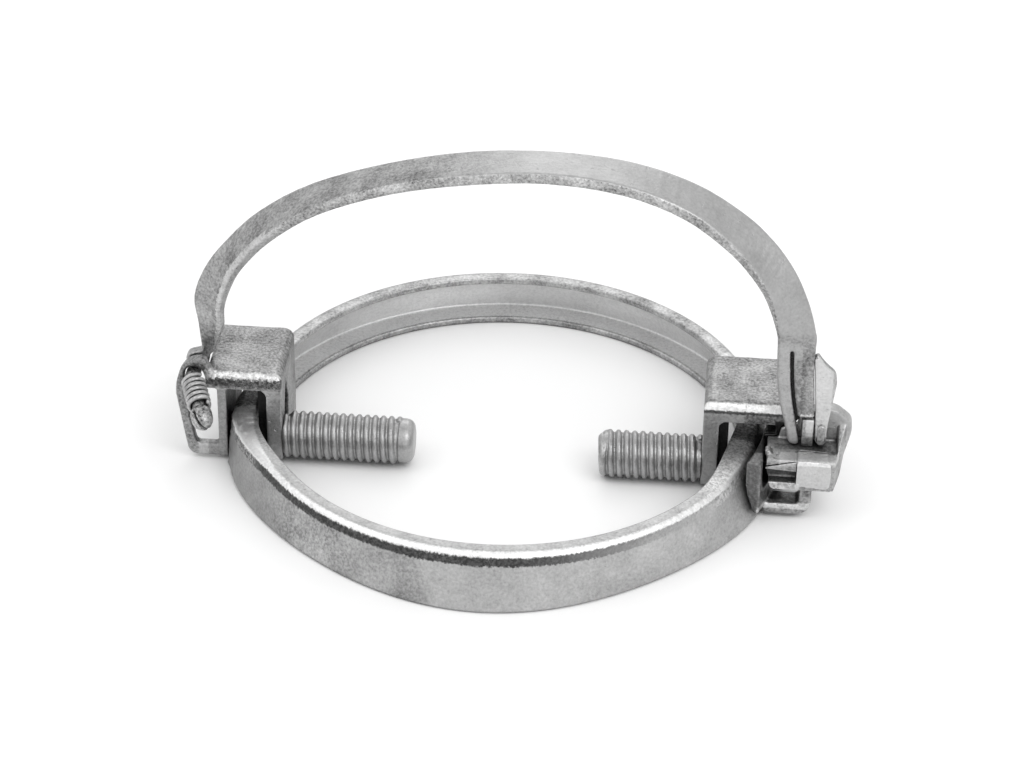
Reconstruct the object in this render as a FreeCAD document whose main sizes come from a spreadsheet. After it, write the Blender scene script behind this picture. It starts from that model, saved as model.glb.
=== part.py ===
import FreeCAD, Part
import math
import os
from FreeCAD import Placement, Rotation, Vector

# Bail clamp: an inward-lipped band ring, two folded saddles with welded studs,
# and a strap bail that hinges in the left saddle's eye and drops into a latch on the right.
# +Z is the ring's axis, +X points to the latch, -Y to the front. The ring's foot is at Z 0.

doc = FreeCAD.newDocument("BailClamp")
sheet = doc.addObject("Spreadsheet::Sheet", "Sizes")

SIZES = [
    # band ring, a channel that opens inwards
    ("band_lip_radius", 50.0),
    ("band_top_flange", 3.4),
    ("band_flare", 4.6),
    ("band_height", 11.6),
    ("band_sheet", 1.5),
    ("band_top_bevel", 1.3),
    ("band_foot_bevel", 0.9),
    # saddles, folded over the band
    ("seat_gap", 0.15),
    ("lip_clearance", 1.3),
    ("saddle_front", 10.1),
    ("saddle_depth", 18.5),
    ("saddle_top", 21.2),
    ("saddle_plate", 3.6),
    ("saddle_foot", 0.9),
    ("outer_wall", 2.6),
    ("wall_trim", 0.7),
    ("inner_wall", 3.3),
    ("right_bar_inset", 3.5),
    ("saddle_outer_bend", 1.2),
    ("saddle_inner_bend", 2.0),
    ("saddle_mouth_bend", 1.5),
    ("saddle_brow", 1.8),
    ("slot_width", 5.0),
    ("slot_brow", 0.4),
    ("slot_point", 5.7),
    ("slot_sill", 1.5),
    ("slot_back", 6.7),
    # studs, welded to the inner walls
    ("stud_radius", 5.0),
    ("stud_line_front", 6.75),
    ("stud_foot_gap", 0.25),
    ("left_stud_reach", 27.4),
    ("right_stud_reach", 20.9),
    ("stud_dome", 2.8),
    ("stud_chamfer", 0.8),
    # hinge eye on the left saddle
    ("ear_width", 2.2),
    ("ear_strip", 2.0),
    ("ear_run", 7.45),
    ("ear_lean", 2.45),
    ("ear_sill", 2.9),
    ("ear_crown", 2.3),
    ("eye_clearance", 0.3),
    # hinge rod, its tab on the bail and the wire bound round its tail
    ("rod_radius", 1.5),
    ("rod_stand", 3.31),
    ("rod_drop", 0.4),
    ("rod_end", 0.55),
    ("rod_lead", 0.65),
    ("rod_bend", 1.6),
    ("fit_clearance", 0.05),
    ("tail_droop", 28.6),
    ("tail_lean", 42.0),
    ("tail_length", 13.4),
    ("tip_slot", 0.8),
    ("tip_split", 3.8),
    ("tip_bulb", 0.75),
    ("wire_size", 1.0),
    ("wire_pitch", 1.15),
    ("wire_turns", 7.0),
    ("wire_start", 0.45),
    ("tab_radius", 2.4),
    ("tab_gap", 3.25),
    # bail arch, a strap that follows a tilted ellipse
    ("arch_swell", 0.735),
    ("arch_rise", 39.87),
    ("arch_tilt", 11.97),
    ("arch_lag", 0.61),
    ("arch_dip", 7.47),
    ("strap_thick", 2.5),
    # fork at the latch end of the bail
    ("fork_lead", 2.8),
    ("fork_width", 7.9),
    ("fork_inset", 0.6),
    ("fork_rise", 25.3),
    ("prong_width", 2.15),
    ("prong_kink_rise", 13.3),
    ("prong_kink_width", 2.8),
    ("prong_bow", 0.5),
    ("prong_shift", 3.66),
    ("slit_width", 0.65),
    ("slit_start", 2.75),
    ("slit_inset", 2.6),
    ("tongue_gap", 0.5),
    ("tongue_width", 3.4),
    ("tongue_flare", 0.65),
    ("fork_waist", 0.25),
    # bracket arm and hook on the right saddle
    ("arm_gap", 0.25),
    ("arm_tuck", 2.8),
    ("arm_sheet", 3.2),
    ("arm_rise", 1.5),
    ("arm_sweep", 22.0),
    ("arm_root", 6.0),
    ("arm_fin", 3.0),
    ("ledge", 7.6),
    ("hook_setback", 0.6),
    ("hook_width", 5.0),
    ("hook_run", 4.4),
    ("hook_root", 3.0),
    ("hook_bend", 3.2),
    # latch block on the ledge
    ("block_inset", 5.2),
    ("block_run", 9.7),
    ("block_lead", 6.7),
    ("block_tail", 2.0),
    ("block_height", 7.1),
    ("block_gap", 0.35),
    ("boss_inset", 1.0),
    ("boss_proud", 1.0),
    ("boss_rise", 0.6),
    ("boss_depth", 3.0),
    ("groove_width", 1.1),
    ("recess_depth", 2.2),
    ("recess_sill", 1.7),
    ("cheek_gap", 0.3),
    ("cheek_thick", 3.0),
    ("cheek_rise", 7.5),
    ("cheek_run", 2.2),
    # keeper post under the tongue and catch lever beside the fork
    ("post_height", 6.45),
    ("side_gap", 0.35),
    ("catch_thick", 2.35),
    ("catch_hub", 1.2),
    ("catch_rise", 1.7),
    ("catch_length", 19.8),
    ("catch_width", 3.75),
    ("pin_radius", 0.8),
    ("pin_bed", 2.0),
    ("pin_head", 0.85),
]

# stations along the arch: angle on the ellipse, shift to the right, lift, strap width, twist from flat
STATIONS = [
    (173.7, 2.63, 0.00, 1.6, 90.0),
    (166.0, 2.95, 0.00, 3.9, 80.0),
    (158.6, 1.70, 0.00, 6.6, 70.0),
    (150.5, 0.90, 0.00, 6.9, 54.0),
    (142.0, 0.43, 0.12, 6.9, 36.0),
    (130.0, -0.38, 0.00, 7.8, 21.0),
    (117.0, -0.25, 0.19, 8.5, 9.0),
    (102.0, 0.75, -0.12, 8.5, 6.0),
    (87.0, 1.06, -0.31, 9.1, 5.0),
    (72.0, 0.69, 0.00, 8.9, 4.0),
    (57.0, 0.44, 0.50, 9.0, 7.0),
    (43.0, 0.19, 0.50, 9.3, 12.0),
    (30.0, -0.25, 0.00, 9.2, 22.0),
    (20.0, -0.56, -0.06, 8.7, 33.0),
    (11.0, -0.45, -0.25, 8.1, 46.0),
    (3.0, -0.45, 0.12, 7.8, 60.0),
    (-3.0, 0.00, 0.25, 7.8, 72.0),
    (-7.6, 0.00, 0.00, 7.9, 90.0),
]

for row, (alias, amount) in enumerate(SIZES, start=1):
    sheet.set("A%d" % row, alias)
    sheet.set("B%d" % row, str(amount))
    sheet.setAlias("B%d" % row, alias)
doc.recompute()


def size(alias):
    """Give one size from the sheet."""
    return float(sheet.get(alias))


def bind(target, name, formula):
    """Tie a property to the sheet, where each alias in the formula starts with a hash mark."""
    target.setExpression(name, formula.replace("#", "Sizes."))


def make_body(label):
    """Start a body whose label names the piece."""
    body = doc.addObject("PartDesign::Body", label)
    body.Label = label
    return body


def make_sketch(body, name, plane, offset=0.0, turn=None):
    """Start a sketch on one of the body's own planes, moved along the plane's normal."""
    sketch = body.newObject("Sketcher::SketchObject", name)
    support = [item for item in body.Origin.OriginFeatures if item.Role == plane][0]
    sketch.AttachmentSupport = [(support, "")]
    sketch.MapMode = "FlatFace"
    sketch.AttachmentOffset = turn if turn else Placement(Vector(0, 0, offset), Rotation())
    return sketch


def corner_arc(before, corner, after, radius):
    """Give start, middle, end of the arc that rounds a corner, limited by its two sides."""
    to_before = (before - corner).normalize()
    to_after = (after - corner).normalize()
    half = to_before.getAngle(to_after) / 2
    room = 0.49 * min((before - corner).Length, (after - corner).Length)
    reach = min(radius / math.tan(half), room)
    bend = reach * math.tan(half)
    middle_line = (to_before + to_after).normalize()
    centre = corner + middle_line * (bend / math.sin(half))
    return corner + to_before * reach, centre - middle_line * bend, corner + to_after * reach


def add_outline(sketch, points, radii=None):
    """Draw a closed outline, with an arc at each corner that has a radius."""
    corners = [Vector(x, y, 0) for x, y in points]
    radii = radii or [0.0] * len(corners)
    starts, ends, arcs = [], [], []
    for index, corner in enumerate(corners):
        before = corners[index - 1]
        after = corners[(index + 1) % len(corners)]
        if radii[index] > 0:
            first, middle, last = corner_arc(Vector(before), Vector(corner), Vector(after), radii[index])
            arcs.append(Part.Arc(first, middle, last))
            starts.append(first)
            ends.append(last)
        else:
            arcs.append(None)
            starts.append(corner)
            ends.append(corner)
    for index in range(len(corners)):
        if arcs[index]:
            sketch.addGeometry(arcs[index], False)
        following = (index + 1) % len(corners)
        sketch.addGeometry(Part.LineSegment(ends[index], starts[following]), False)


def offset_path(points, distance):
    """Shift an open run of straight lines sideways, to its right for a positive distance."""
    runs = []
    for (x0, y0), (x1, y1) in zip(points[:-1], points[1:]):
        length = math.hypot(x1 - x0, y1 - y0)
        normal = ((y1 - y0) / length, -(x1 - x0) / length)
        runs.append(((x0 + normal[0] * distance, y0 + normal[1] * distance), (x1 - x0, y1 - y0)))
    first, last = runs[0], runs[-1]
    shifted = [first[0]]
    for (start, way), (other, turn) in zip(runs[:-1], runs[1:]):
        cross = way[0] * turn[1] - way[1] * turn[0]
        share = ((other[0] - start[0]) * turn[1] - (other[1] - start[1]) * turn[0]) / cross
        shifted.append((start[0] + way[0] * share, start[1] + way[1] * share))
    shifted.append((last[0][0] + last[1][0], last[0][1] + last[1][1]))
    return shifted


def strip_outline(path, radii, thickness):
    """Give corners and radii of a bent strip whose outer side is the path, thick to its right."""
    inner = offset_path(path, thickness)
    inner_radii = [max(radius - abs(thickness), 0.5) if radius else 0.0 for radius in radii]
    return path + inner[::-1], radii + inner_radii[::-1]


def add_pad(body, name, sketch, formula, back=False):
    """Pad a sketch by a length from the sheet, backwards when asked."""
    pad = body.newObject("PartDesign::Pad", name)
    pad.Profile = sketch
    bind(pad, "Length", formula)
    pad.Reversed = back
    doc.recompute()
    return pad


def add_pocket(body, name, sketch, formula, back=False):
    """Pocket a sketch by a length from the sheet and make sure that it takes material away."""
    before = body.Shape.Volume
    pocket = body.newObject("PartDesign::Pocket", name)
    pocket.Profile = sketch
    bind(pocket, "Length", formula)
    pocket.Reversed = back
    doc.recompute()
    if body.Shape.Volume > before - 0.01:
        raise RuntimeError("%s cuts nothing" % name)
    return pocket


def add_round(body, name, radius, keep, flat=False):
    """Fillet, or bevel when flat, the edges of the body's last feature that the test keeps."""
    base = body.Tip
    names = []
    for index, edge in enumerate(base.Shape.Edges, start=1):
        middle = edge.valueAt((edge.FirstParameter + edge.LastParameter) / 2)
        if keep(middle, edge):
            names.append("Edge%d" % index)
    fillet = body.newObject("PartDesign::Chamfer" if flat else "PartDesign::Fillet", name)
    fillet.Base = (base, names)
    bind(fillet, "Size" if flat else "Radius", radius)
    doc.recompute()
    if "Invalid" in fillet.State:
        raise RuntimeError("%s can't round its %d edges" % (name, len(names)))
    return fillet


# values that more than one piece shares
lip = size("band_lip_radius")
top_radius = lip + size("band_top_flange")
foot_radius = top_radius + size("band_flare")
height = size("band_height")
band_slope = math.atan2(size("band_flare"), height)
band_reach = foot_radius - size("band_foot_bevel") * math.tan(band_slope)
wall_face = band_reach + size("seat_gap")
wall_out = wall_face + size("outer_wall")
front = size("saddle_front")
foot = size("saddle_foot")
top = size("saddle_top")
mouth = top - size("saddle_plate")
left_bar = lip - size("lip_clearance")
right_bar = left_bar - size("right_bar_inset")
half_strap = size("strap_thick") / 2

# the hinge: rod line outside the left wall, tab behind the ear
rod_out = wall_out + size("rod_stand")
rod_height = top - size("rod_drop")
rod_radius = size("rod_radius")
rod_corner = front + size("rod_lead")
bore_radius = rod_radius + size("fit_clearance")
ear_reach = wall_out + size("ear_run")
tab_centre = front - size("ear_width") - size("tab_gap") - half_strap
rod_back = tab_centre - half_strap - size("rod_end")

# the latch: block on the ledge, fork in front of the right saddle, catch beside the fork
ledge = size("ledge")
block_top = ledge + size("block_height")
block_left = wall_out - size("block_inset")
block_right = wall_out + size("block_run")
boss_left = wall_out + size("boss_inset")
boss_top = block_top + size("boss_rise")
cheek_top = block_top + size("cheek_rise")
cheek_reach = block_right + size("cheek_run")
hook_reach = wall_out + size("hook_run")
post_top = block_top + size("post_height")
fork_centre = front + size("fork_lead")
fork_back = fork_centre - half_strap
fork_line = wall_out - size("fork_inset")
fork_left = fork_line - size("fork_width") / 2
fork_right = fork_line + size("fork_width") / 2
fork_joint = block_top + size("fork_rise")
prong_foot = fork_left + size("prong_shift")
block_front = fork_centre + size("block_lead")
block_back = fork_centre - size("block_tail")
hook_front = block_front - size("hook_setback")
cheek_front = fork_back - size("cheek_gap")
catch_left = fork_right + size("tongue_flare") + size("side_gap")
pin_line = catch_left + size("catch_hub")
pin_height = block_top + size("catch_rise")

# the arch: an ellipse from the hinge to the fork
half_span = (rod_out + fork_line) / 2 + size("arch_swell")
arch_centre = (fork_line - rod_out) / 2 - size("arch_lag")
arch_height = fork_joint - size("arch_dip")


def make_band():
    """The band ring: one channel section, bevelled at its outer bends, turned about the ring's axis."""
    body = make_body("ring_band")
    sketch = make_sketch(body, "band_section", "XZ_Plane")
    cut = size("band_top_bevel")
    low = size("band_foot_bevel")
    lean = math.tan(band_slope)
    outer = [(lip, height), (top_radius - cut, height), (top_radius + cut * lean, height - cut),
             (foot_radius - low * lean, low), (foot_radius - low, 0.0), (lip, 0.0)]
    inner = offset_path([(lip, height), (top_radius, height), (foot_radius, 0.0), (lip, 0.0)], size("band_sheet"))
    add_outline(sketch, outer + inner[::-1])
    turn = body.newObject("PartDesign::Revolution", "band_turn")
    turn.Profile = sketch
    turn.ReferenceAxis = (sketch, ["V_Axis"])
    turn.Angle = 360
    doc.recompute()
    return body


def add_turned_cut(body, name, inner, outer, side):
    """Cut a ring out of a saddle's outer wall below its plate, so that the wall follows the band."""
    before = body.Shape.Volume
    sketch = make_sketch(body, name + "_outline", "XZ_Plane")
    add_outline(sketch, [(side * inner, -1.0), (side * outer, -1.0), (side * outer, mouth), (side * inner, mouth)])
    groove = body.newObject("PartDesign::Groove", name)
    groove.Profile = sketch
    groove.ReferenceAxis = (sketch, ["V_Axis"])
    groove.Angle = 60
    groove.Midplane = True
    doc.recompute()
    if body.Shape.Volume > before - 0.01:
        raise RuntimeError("%s cuts nothing" % name)


def add_hook(body):
    """Pad the hook that runs out under the latch block and turns up at its end."""
    hook = make_sketch(body, "hook_outline", "XZ_Plane", hook_front)
    path = [(wall_face - size("hook_root"), foot), (hook_reach, foot), (hook_reach, ledge)]
    points, radii = strip_outline(path, [0.0, size("hook_bend"), 0.0], -size("outer_wall"))
    add_outline(hook, points, radii)
    add_pad(body, "hook", hook, "#hook_width", back=True)


def saddle_blank(side, label, bar_face):
    """A saddle folded over the band, with its brow rounded and a pointed slot in its inner wall."""
    body = make_body(label)
    bar_out = bar_face - size("inner_wall")
    section = make_sketch(body, label + "_section", "XZ_Plane", front)
    inside = wall_face - front * front / (1.6 * wall_face)
    points = [(wall_out, foot), (wall_out, top), (bar_out, top), (bar_out, foot), (bar_face, foot),
              (bar_face, mouth), (inside, mouth), (inside, foot)]
    radii = [0.0, size("saddle_outer_bend"), size("saddle_inner_bend"), 0.0, 0.0,
             size("saddle_mouth_bend"), size("saddle_mouth_bend"), 0.0]
    add_outline(section, [(side * x, z) for x, z in points], radii)
    add_pad(body, label + "_fold", section, "#saddle_depth", back=True)
    add_round(body, label + "_brow", "#saddle_brow",
              lambda middle, edge: abs(middle.y + front) < 0.01 and middle.z > top - 0.01)
    if side > 0:
        add_hook(body)
    add_turned_cut(body, label + "_wall_seat", lip + 0.5, wall_face, side)
    add_turned_cut(body, label + "_wall_back", wall_out - size("wall_trim"), wall_out + size("ear_run"), side)
    slot = make_sketch(body, label + "_slot_outline", "YZ_Plane", side * (bar_out - 1.0))
    centre = size("slot_back") - front
    half = size("slot_width") / 2
    low = foot + size("slot_sill")
    peak = mouth - size("slot_brow")
    shoulder = peak - size("slot_point")
    outline = [(centre - half, low), (centre + half, low), (centre + half, shoulder),
               (centre + half * 0.2, peak), (centre - half * 0.2, peak), (centre - half, shoulder)]
    add_outline(slot, outline, [0.0, 0.0, 4.0, 0.3, 0.3, 4.0])
    add_pocket(body, label + "_slot", slot, "#inner_wall + 2", back=side > 0)
    return body


def make_left_saddle():
    """The left saddle, whose outer wall runs on into a closed hinge eye."""
    body = saddle_blank(-1, "left_saddle", left_bar)
    hole = rod_radius + size("eye_clearance")
    crown = rod_height + hole + size("ear_crown")
    anchor = wall_face + 0.6
    low = ear_reach - size("ear_lean")
    strip = size("ear_strip")
    outer = [(anchor, foot), (low, foot), (ear_reach, mouth - 0.3), (ear_reach - 1.5, top + 1.1),
             (rod_out + 0.6, crown - 0.5), (wall_out + 0.9, crown), (wall_out - 1.3, top - 1.0)]
    inner = [(wall_out - 1.3, mouth - 0.1), (wall_out - 0.4, mouth), (wall_out + 0.8, rod_height - 1.2),
             (rod_out - hole - 0.2, rod_height + 0.8), (rod_out - 1.2, rod_height + hole),
             (rod_out + 1.0, rod_height + hole), (rod_out + hole, rod_height + 0.2), (ear_reach - strip, mouth - 0.8),
             (low - strip + 0.3, foot + size("ear_sill")), (anchor, foot + size("ear_sill"))]
    radii = [0.0, 2.5, 4.0, 2.0, 1.5, 1.0, 0.0, 0.0, 0.3, 0.8, 0.6, 0.8, 0.8, 0.8, 2.0, 0.8, 0.0]
    ear = make_sketch(body, "ear_outline", "XZ_Plane", front)
    add_outline(ear, [(-x, z) for x, z in outer + inner], radii)
    add_pad(body, "ear", ear, "#ear_width", back=True)
    return body


def make_right_saddle():
    """The right saddle, with an arm that follows the band forward and a hook under the latch."""
    body = saddle_blank(1, "right_saddle", right_bar)
    steep = math.cos(band_slope)
    gap = size("arm_gap") / steep

    def web(z):
        """Give the band's outer radius at a height."""
        return foot_radius - min(z, height) * math.tan(band_slope)

    arm = make_sketch(body, "arm_section", "XZ_Plane", 0.0,
                      Placement(Vector(0, 0, 0), Rotation(Vector(0, 1, 0), -size("arm_root"))))
    fin = height + size("arm_fin")
    inner = foot_radius - size("arm_tuck")
    outer = inner + size("arm_sheet")
    low = foot + size("arm_rise")
    bend = (foot_radius + gap - inner) / math.tan(band_slope)
    points = [(web(low) + gap, low), (inner, bend), (inner, fin), (outer, fin), (outer, low)]
    add_outline(arm, points)
    turn = body.newObject("PartDesign::Revolution", "arm")
    turn.Profile = arm
    turn.ReferenceAxis = (arm, ["V_Axis"])
    turn.Angle = size("arm_sweep") - size("arm_root")
    doc.recompute()
    if body.Shape.BoundBox.YMin > -hook_front - 1.0:
        turn.Reversed = True
        doc.recompute()
    relief = make_sketch(body, "arm_relief_outline", "XY_Plane", ledge)
    gap = size("block_gap") * 2
    left = block_left - gap
    ahead = -block_front * 1.05
    add_outline(relief, [(left, ahead), (wall_out + gap, ahead), (wall_out + gap, -block_back + gap),
                         (left, -block_back + gap)])
    add_pocket(body, "arm_relief", relief, "#saddle_top", back=True)
    return body


def make_stud(side, label, bar_face, alias, tip):
    """A stud whose root meets the saddle's inner wall, given its reach and how its tip ends."""
    body = make_body(label)
    sketch = make_sketch(body, label + "_half", "XZ_Plane", size("stud_line_front"))
    radius = size("stud_radius")
    line = radius + size("stud_foot_gap")
    root = bar_face - size("inner_wall")
    end = root - size(alias)
    points = [(root, line), (root, line + radius)]
    if tip == "dome":
        cut = size("stud_dome")
        points = points + [(end + cut, line + radius), (end + cut * 0.3, line + radius - cut * 0.45),
                           (end, line + radius - cut), (end, line)]
    else:
        cut = size("stud_chamfer")
        points = points + [(end + cut, line + radius), (end, line + radius - cut), (end, line)]
    add_outline(sketch, [(side * x, z) for x, z in points])
    turn = body.newObject("PartDesign::Revolution", label + "_turn")
    turn.Profile = sketch
    turn.ReferenceAxis = (sketch, ["Edge%d" % sketch.GeometryCount])
    turn.Angle = 360
    doc.recompute()
    return body


def arch_line(angle, shift, lift):
    """Give the strap's centre at an angle on the tilted ellipse, and the outward direction there."""
    turn = math.radians(angle)
    tilt = math.radians(size("arch_tilt"))
    along = half_span * math.cos(turn)
    across = size("arch_rise") * math.sin(turn)
    x = arch_centre + along * math.cos(tilt) - across * math.sin(tilt) + shift
    z = arch_height + along * math.sin(tilt) + across * math.cos(tilt) + lift
    out = Vector(math.cos(turn) / half_span, 0, math.sin(turn) / size("arch_rise"))
    out = Rotation(Vector(0, -1, 0), size("arch_tilt")).multVec(out).normalize()
    share = (x + rod_out) / (fork_line + rod_out)
    y = -tab_centre - (fork_centre - tab_centre) * share
    return Vector(x, y, z), out


def make_bail():
    """The bail: a twisted strap with an eye tab at its left end and a fork at its right end."""
    body = make_body("bail_strap")
    sections = []
    last = len(STATIONS) - 1
    for index, (angle, shift, lift, width, twist) in enumerate(STATIONS):
        centre, out = arch_line(angle, shift, lift)
        if index == 0:
            out = Vector(-1, 0, 0)
            centre.y = -tab_centre
        if index == last:
            out = Vector(1, 0, 0)
            centre = Vector(fork_line, -fork_centre, fork_joint)
        turn = math.radians(twist)
        wide = out * math.sin(turn) + Vector(0, 1, 0) * math.cos(turn)
        thick = out * math.cos(turn) - Vector(0, 1, 0) * math.sin(turn)
        place = Placement(centre, Rotation(wide, thick, wide.cross(thick), "ZXY"))
        sketch = make_sketch(body, "arch_section_%d" % index, "XY_Plane", 0.0, place)
        half = width / 2
        add_outline(sketch, [(-half, -half_strap), (half, -half_strap), (half, half_strap), (-half, half_strap)])
        sections.append(sketch)
    loft = body.newObject("PartDesign::AdditiveLoft", "arch")
    loft.Profile = sections[0]
    loft.Sections = sections[1:]
    loft.Ruled = False
    doc.recompute()

    neck, _ = arch_line(*STATIONS[0][:3])
    tab_radius = size("tab_radius")
    half_neck = STATIONS[0][3] / 2
    tab = make_sketch(body, "tab_outline", "XZ_Plane", tab_centre + half_strap)
    points = [(-rod_out - tab_radius, rod_height - tab_radius), (-rod_out + tab_radius, rod_height - tab_radius),
              (-rod_out + tab_radius, rod_height + 1.4), (neck.x + half_neck, neck.z - 0.6),
              (neck.x + half_neck, neck.z), (neck.x - half_neck, neck.z), (neck.x - half_neck, neck.z - 0.6),
              (-rod_out - tab_radius, rod_height + 1.4)]
    add_outline(tab, points, [tab_radius, tab_radius, 1.5, 0.0, 0.0, 0.0, 0.0, 1.5])
    add_pad(body, "tab", tab, "#strap_thick", back=True)
    bore = make_sketch(body, "tab_bore_outline", "XZ_Plane", tab_centre + half_strap + 1.0)
    bore.addGeometry(Part.Circle(Vector(-rod_out, rod_height, 0), Vector(0, 0, 1), bore_radius), False)
    add_pocket(body, "tab_bore", bore, "#strap_thick + 2")

    fork = make_sketch(body, "fork_outline", "XZ_Plane", fork_centre + half_strap)
    joint = fork_joint
    kink = block_top + size("prong_kink_rise")
    prong = size("prong_width")
    low = block_top + size("block_gap")
    slit_left = fork_left + size("slit_start")
    slit_top = joint - size("slit_inset")
    slit_right = slit_left + size("slit_width")
    kink_left = fork_left + size("prong_bow")
    foot_left = prong_foot
    foot_right = foot_left + prong
    tongue_low = post_top + size("tongue_gap")
    tongue_right = fork_right + size("tongue_flare")
    kink_right = kink_left + size("prong_kink_width")
    points = [(fork_left, joint), (kink_left, kink), (foot_left, low), (foot_right, low), (kink_right, kink),
              (slit_left, slit_top), (slit_right, slit_top), (kink_right + size("slit_width"), kink),
              (tongue_right - size("tongue_width"), tongue_low), (tongue_right, tongue_low),
              (fork_right - size("fork_waist"), joint - 5.4), (fork_right, joint)]
    add_outline(fork, points, [0.0, 4.0, 0.9, 0.7, 4.0, 0.3, 0.3, 4.0, 0.5, 0.4, 4.0, 0.0])
    add_pad(body, "fork", fork, "#strap_thick", back=True)
    return body


def tail_frame(distance):
    """Give the placement along the rod's tail, with its x axis down the tail."""
    droop = math.radians(size("tail_droop"))
    lean = math.radians(size("tail_lean"))
    down = Vector(math.sin(lean), 0, -math.cos(lean))
    ahead = Vector(0, -1, 0)
    way = ahead * math.cos(droop) + down * math.sin(droop)
    side = down * math.cos(droop) - ahead * math.sin(droop)
    corner = Vector(-rod_out, -rod_corner, rod_height)
    return Placement(corner + way * distance, Rotation(way, side, way.cross(side), "ZXY"))


def make_rod():
    """The hinge rod: straight through the eye, then bent down to a slotted tail."""
    body = make_body("hinge_rod")
    start = Vector(-rod_out, -rod_back, rod_height)
    corner = Vector(-rod_out, -rod_corner, rod_height)
    tail = tail_frame(size("tail_length"))
    lean = math.radians(size("tail_lean"))
    down = Vector(math.sin(lean), 0, -math.cos(lean))
    ahead = Vector(0, -1, 0)
    path = make_sketch(body, "rod_path", "XY_Plane", 0.0,
                       Placement(corner, Rotation(ahead, down, ahead.cross(down), "ZXY")))
    droop = math.radians(size("tail_droop"))
    run = (corner - start).Length
    end = Vector(math.cos(droop), math.sin(droop), 0) * (size("tail_length") - 1.5)
    first, middle, last = corner_arc(Vector(-run, 0, 0), Vector(0, 0, 0), Vector(end), size("rod_bend"))
    path.addGeometry(Part.LineSegment(Vector(-run, 0, 0), first), False)
    path.addGeometry(Part.Arc(first, middle, last), False)
    path.addGeometry(Part.LineSegment(last, end), False)
    ring = make_sketch(body, "rod_section", "XZ_Plane", rod_back)
    ring.addGeometry(Part.Circle(Vector(-rod_out, rod_height, 0), Vector(0, 0, 1), rod_radius), False)
    pipe = body.newObject("PartDesign::AdditivePipe", "rod")
    pipe.Profile = ring
    pipe.Spine = (path, ["Edge1", "Edge2", "Edge3"])
    doc.recompute()
    bulb = make_sketch(body, "bulb_section", "XY_Plane", 0.0, tail_frame(0.0))
    begin = size("wire_start") + size("wire_pitch") * size("wire_turns") + size("fit_clearance")
    end = size("tail_length")
    fat = rod_radius + size("tip_bulb")
    add_outline(bulb, [(begin, 0), (begin, fat - 0.5), (begin + 0.7, fat), (end - 1.6, fat), (end - 0.4, fat - 0.9),
                       (end, fat - 1.6), (end, 0)])
    turn = body.newObject("PartDesign::Revolution", "bulb")
    turn.Profile = bulb
    turn.ReferenceAxis = (bulb, ["H_Axis"])
    turn.Angle = 360
    doc.recompute()
    slot = make_sketch(body, "tip_slot_outline", "XY_Plane", 0.0, tail)
    deep = size("tip_split")
    wide = fat * 1.15
    add_outline(slot, [(-deep, -wide), (1.0, -wide), (1.0, wide), (-deep, wide)])
    pocket = body.newObject("PartDesign::Pocket", "tip_slot")
    pocket.Profile = slot
    pocket.Midplane = True
    bind(pocket, "Length", "#tip_slot")
    doc.recompute()
    return body


def make_wire():
    """The wire bound round the tail, as a plain sleeve over all its turns."""
    body = make_body("binding_wire")
    sketch = make_sketch(body, "wire_section", "XY_Plane", 0.0, tail_frame(size("wire_start")))
    inner = bore_radius
    outer = inner + size("wire_size")
    length = size("wire_pitch") * size("wire_turns")
    cut = size("wire_size") / 2
    add_outline(sketch, [(0, inner), (0, outer - cut), (cut, outer), (length - cut, outer), (length, outer - cut),
                         (length, inner)])
    turn = body.newObject("PartDesign::Revolution", "wire_turn")
    turn.Profile = sketch
    turn.ReferenceAxis = (sketch, ["H_Axis"])
    turn.Angle = 360
    doc.recompute()
    return body


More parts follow.
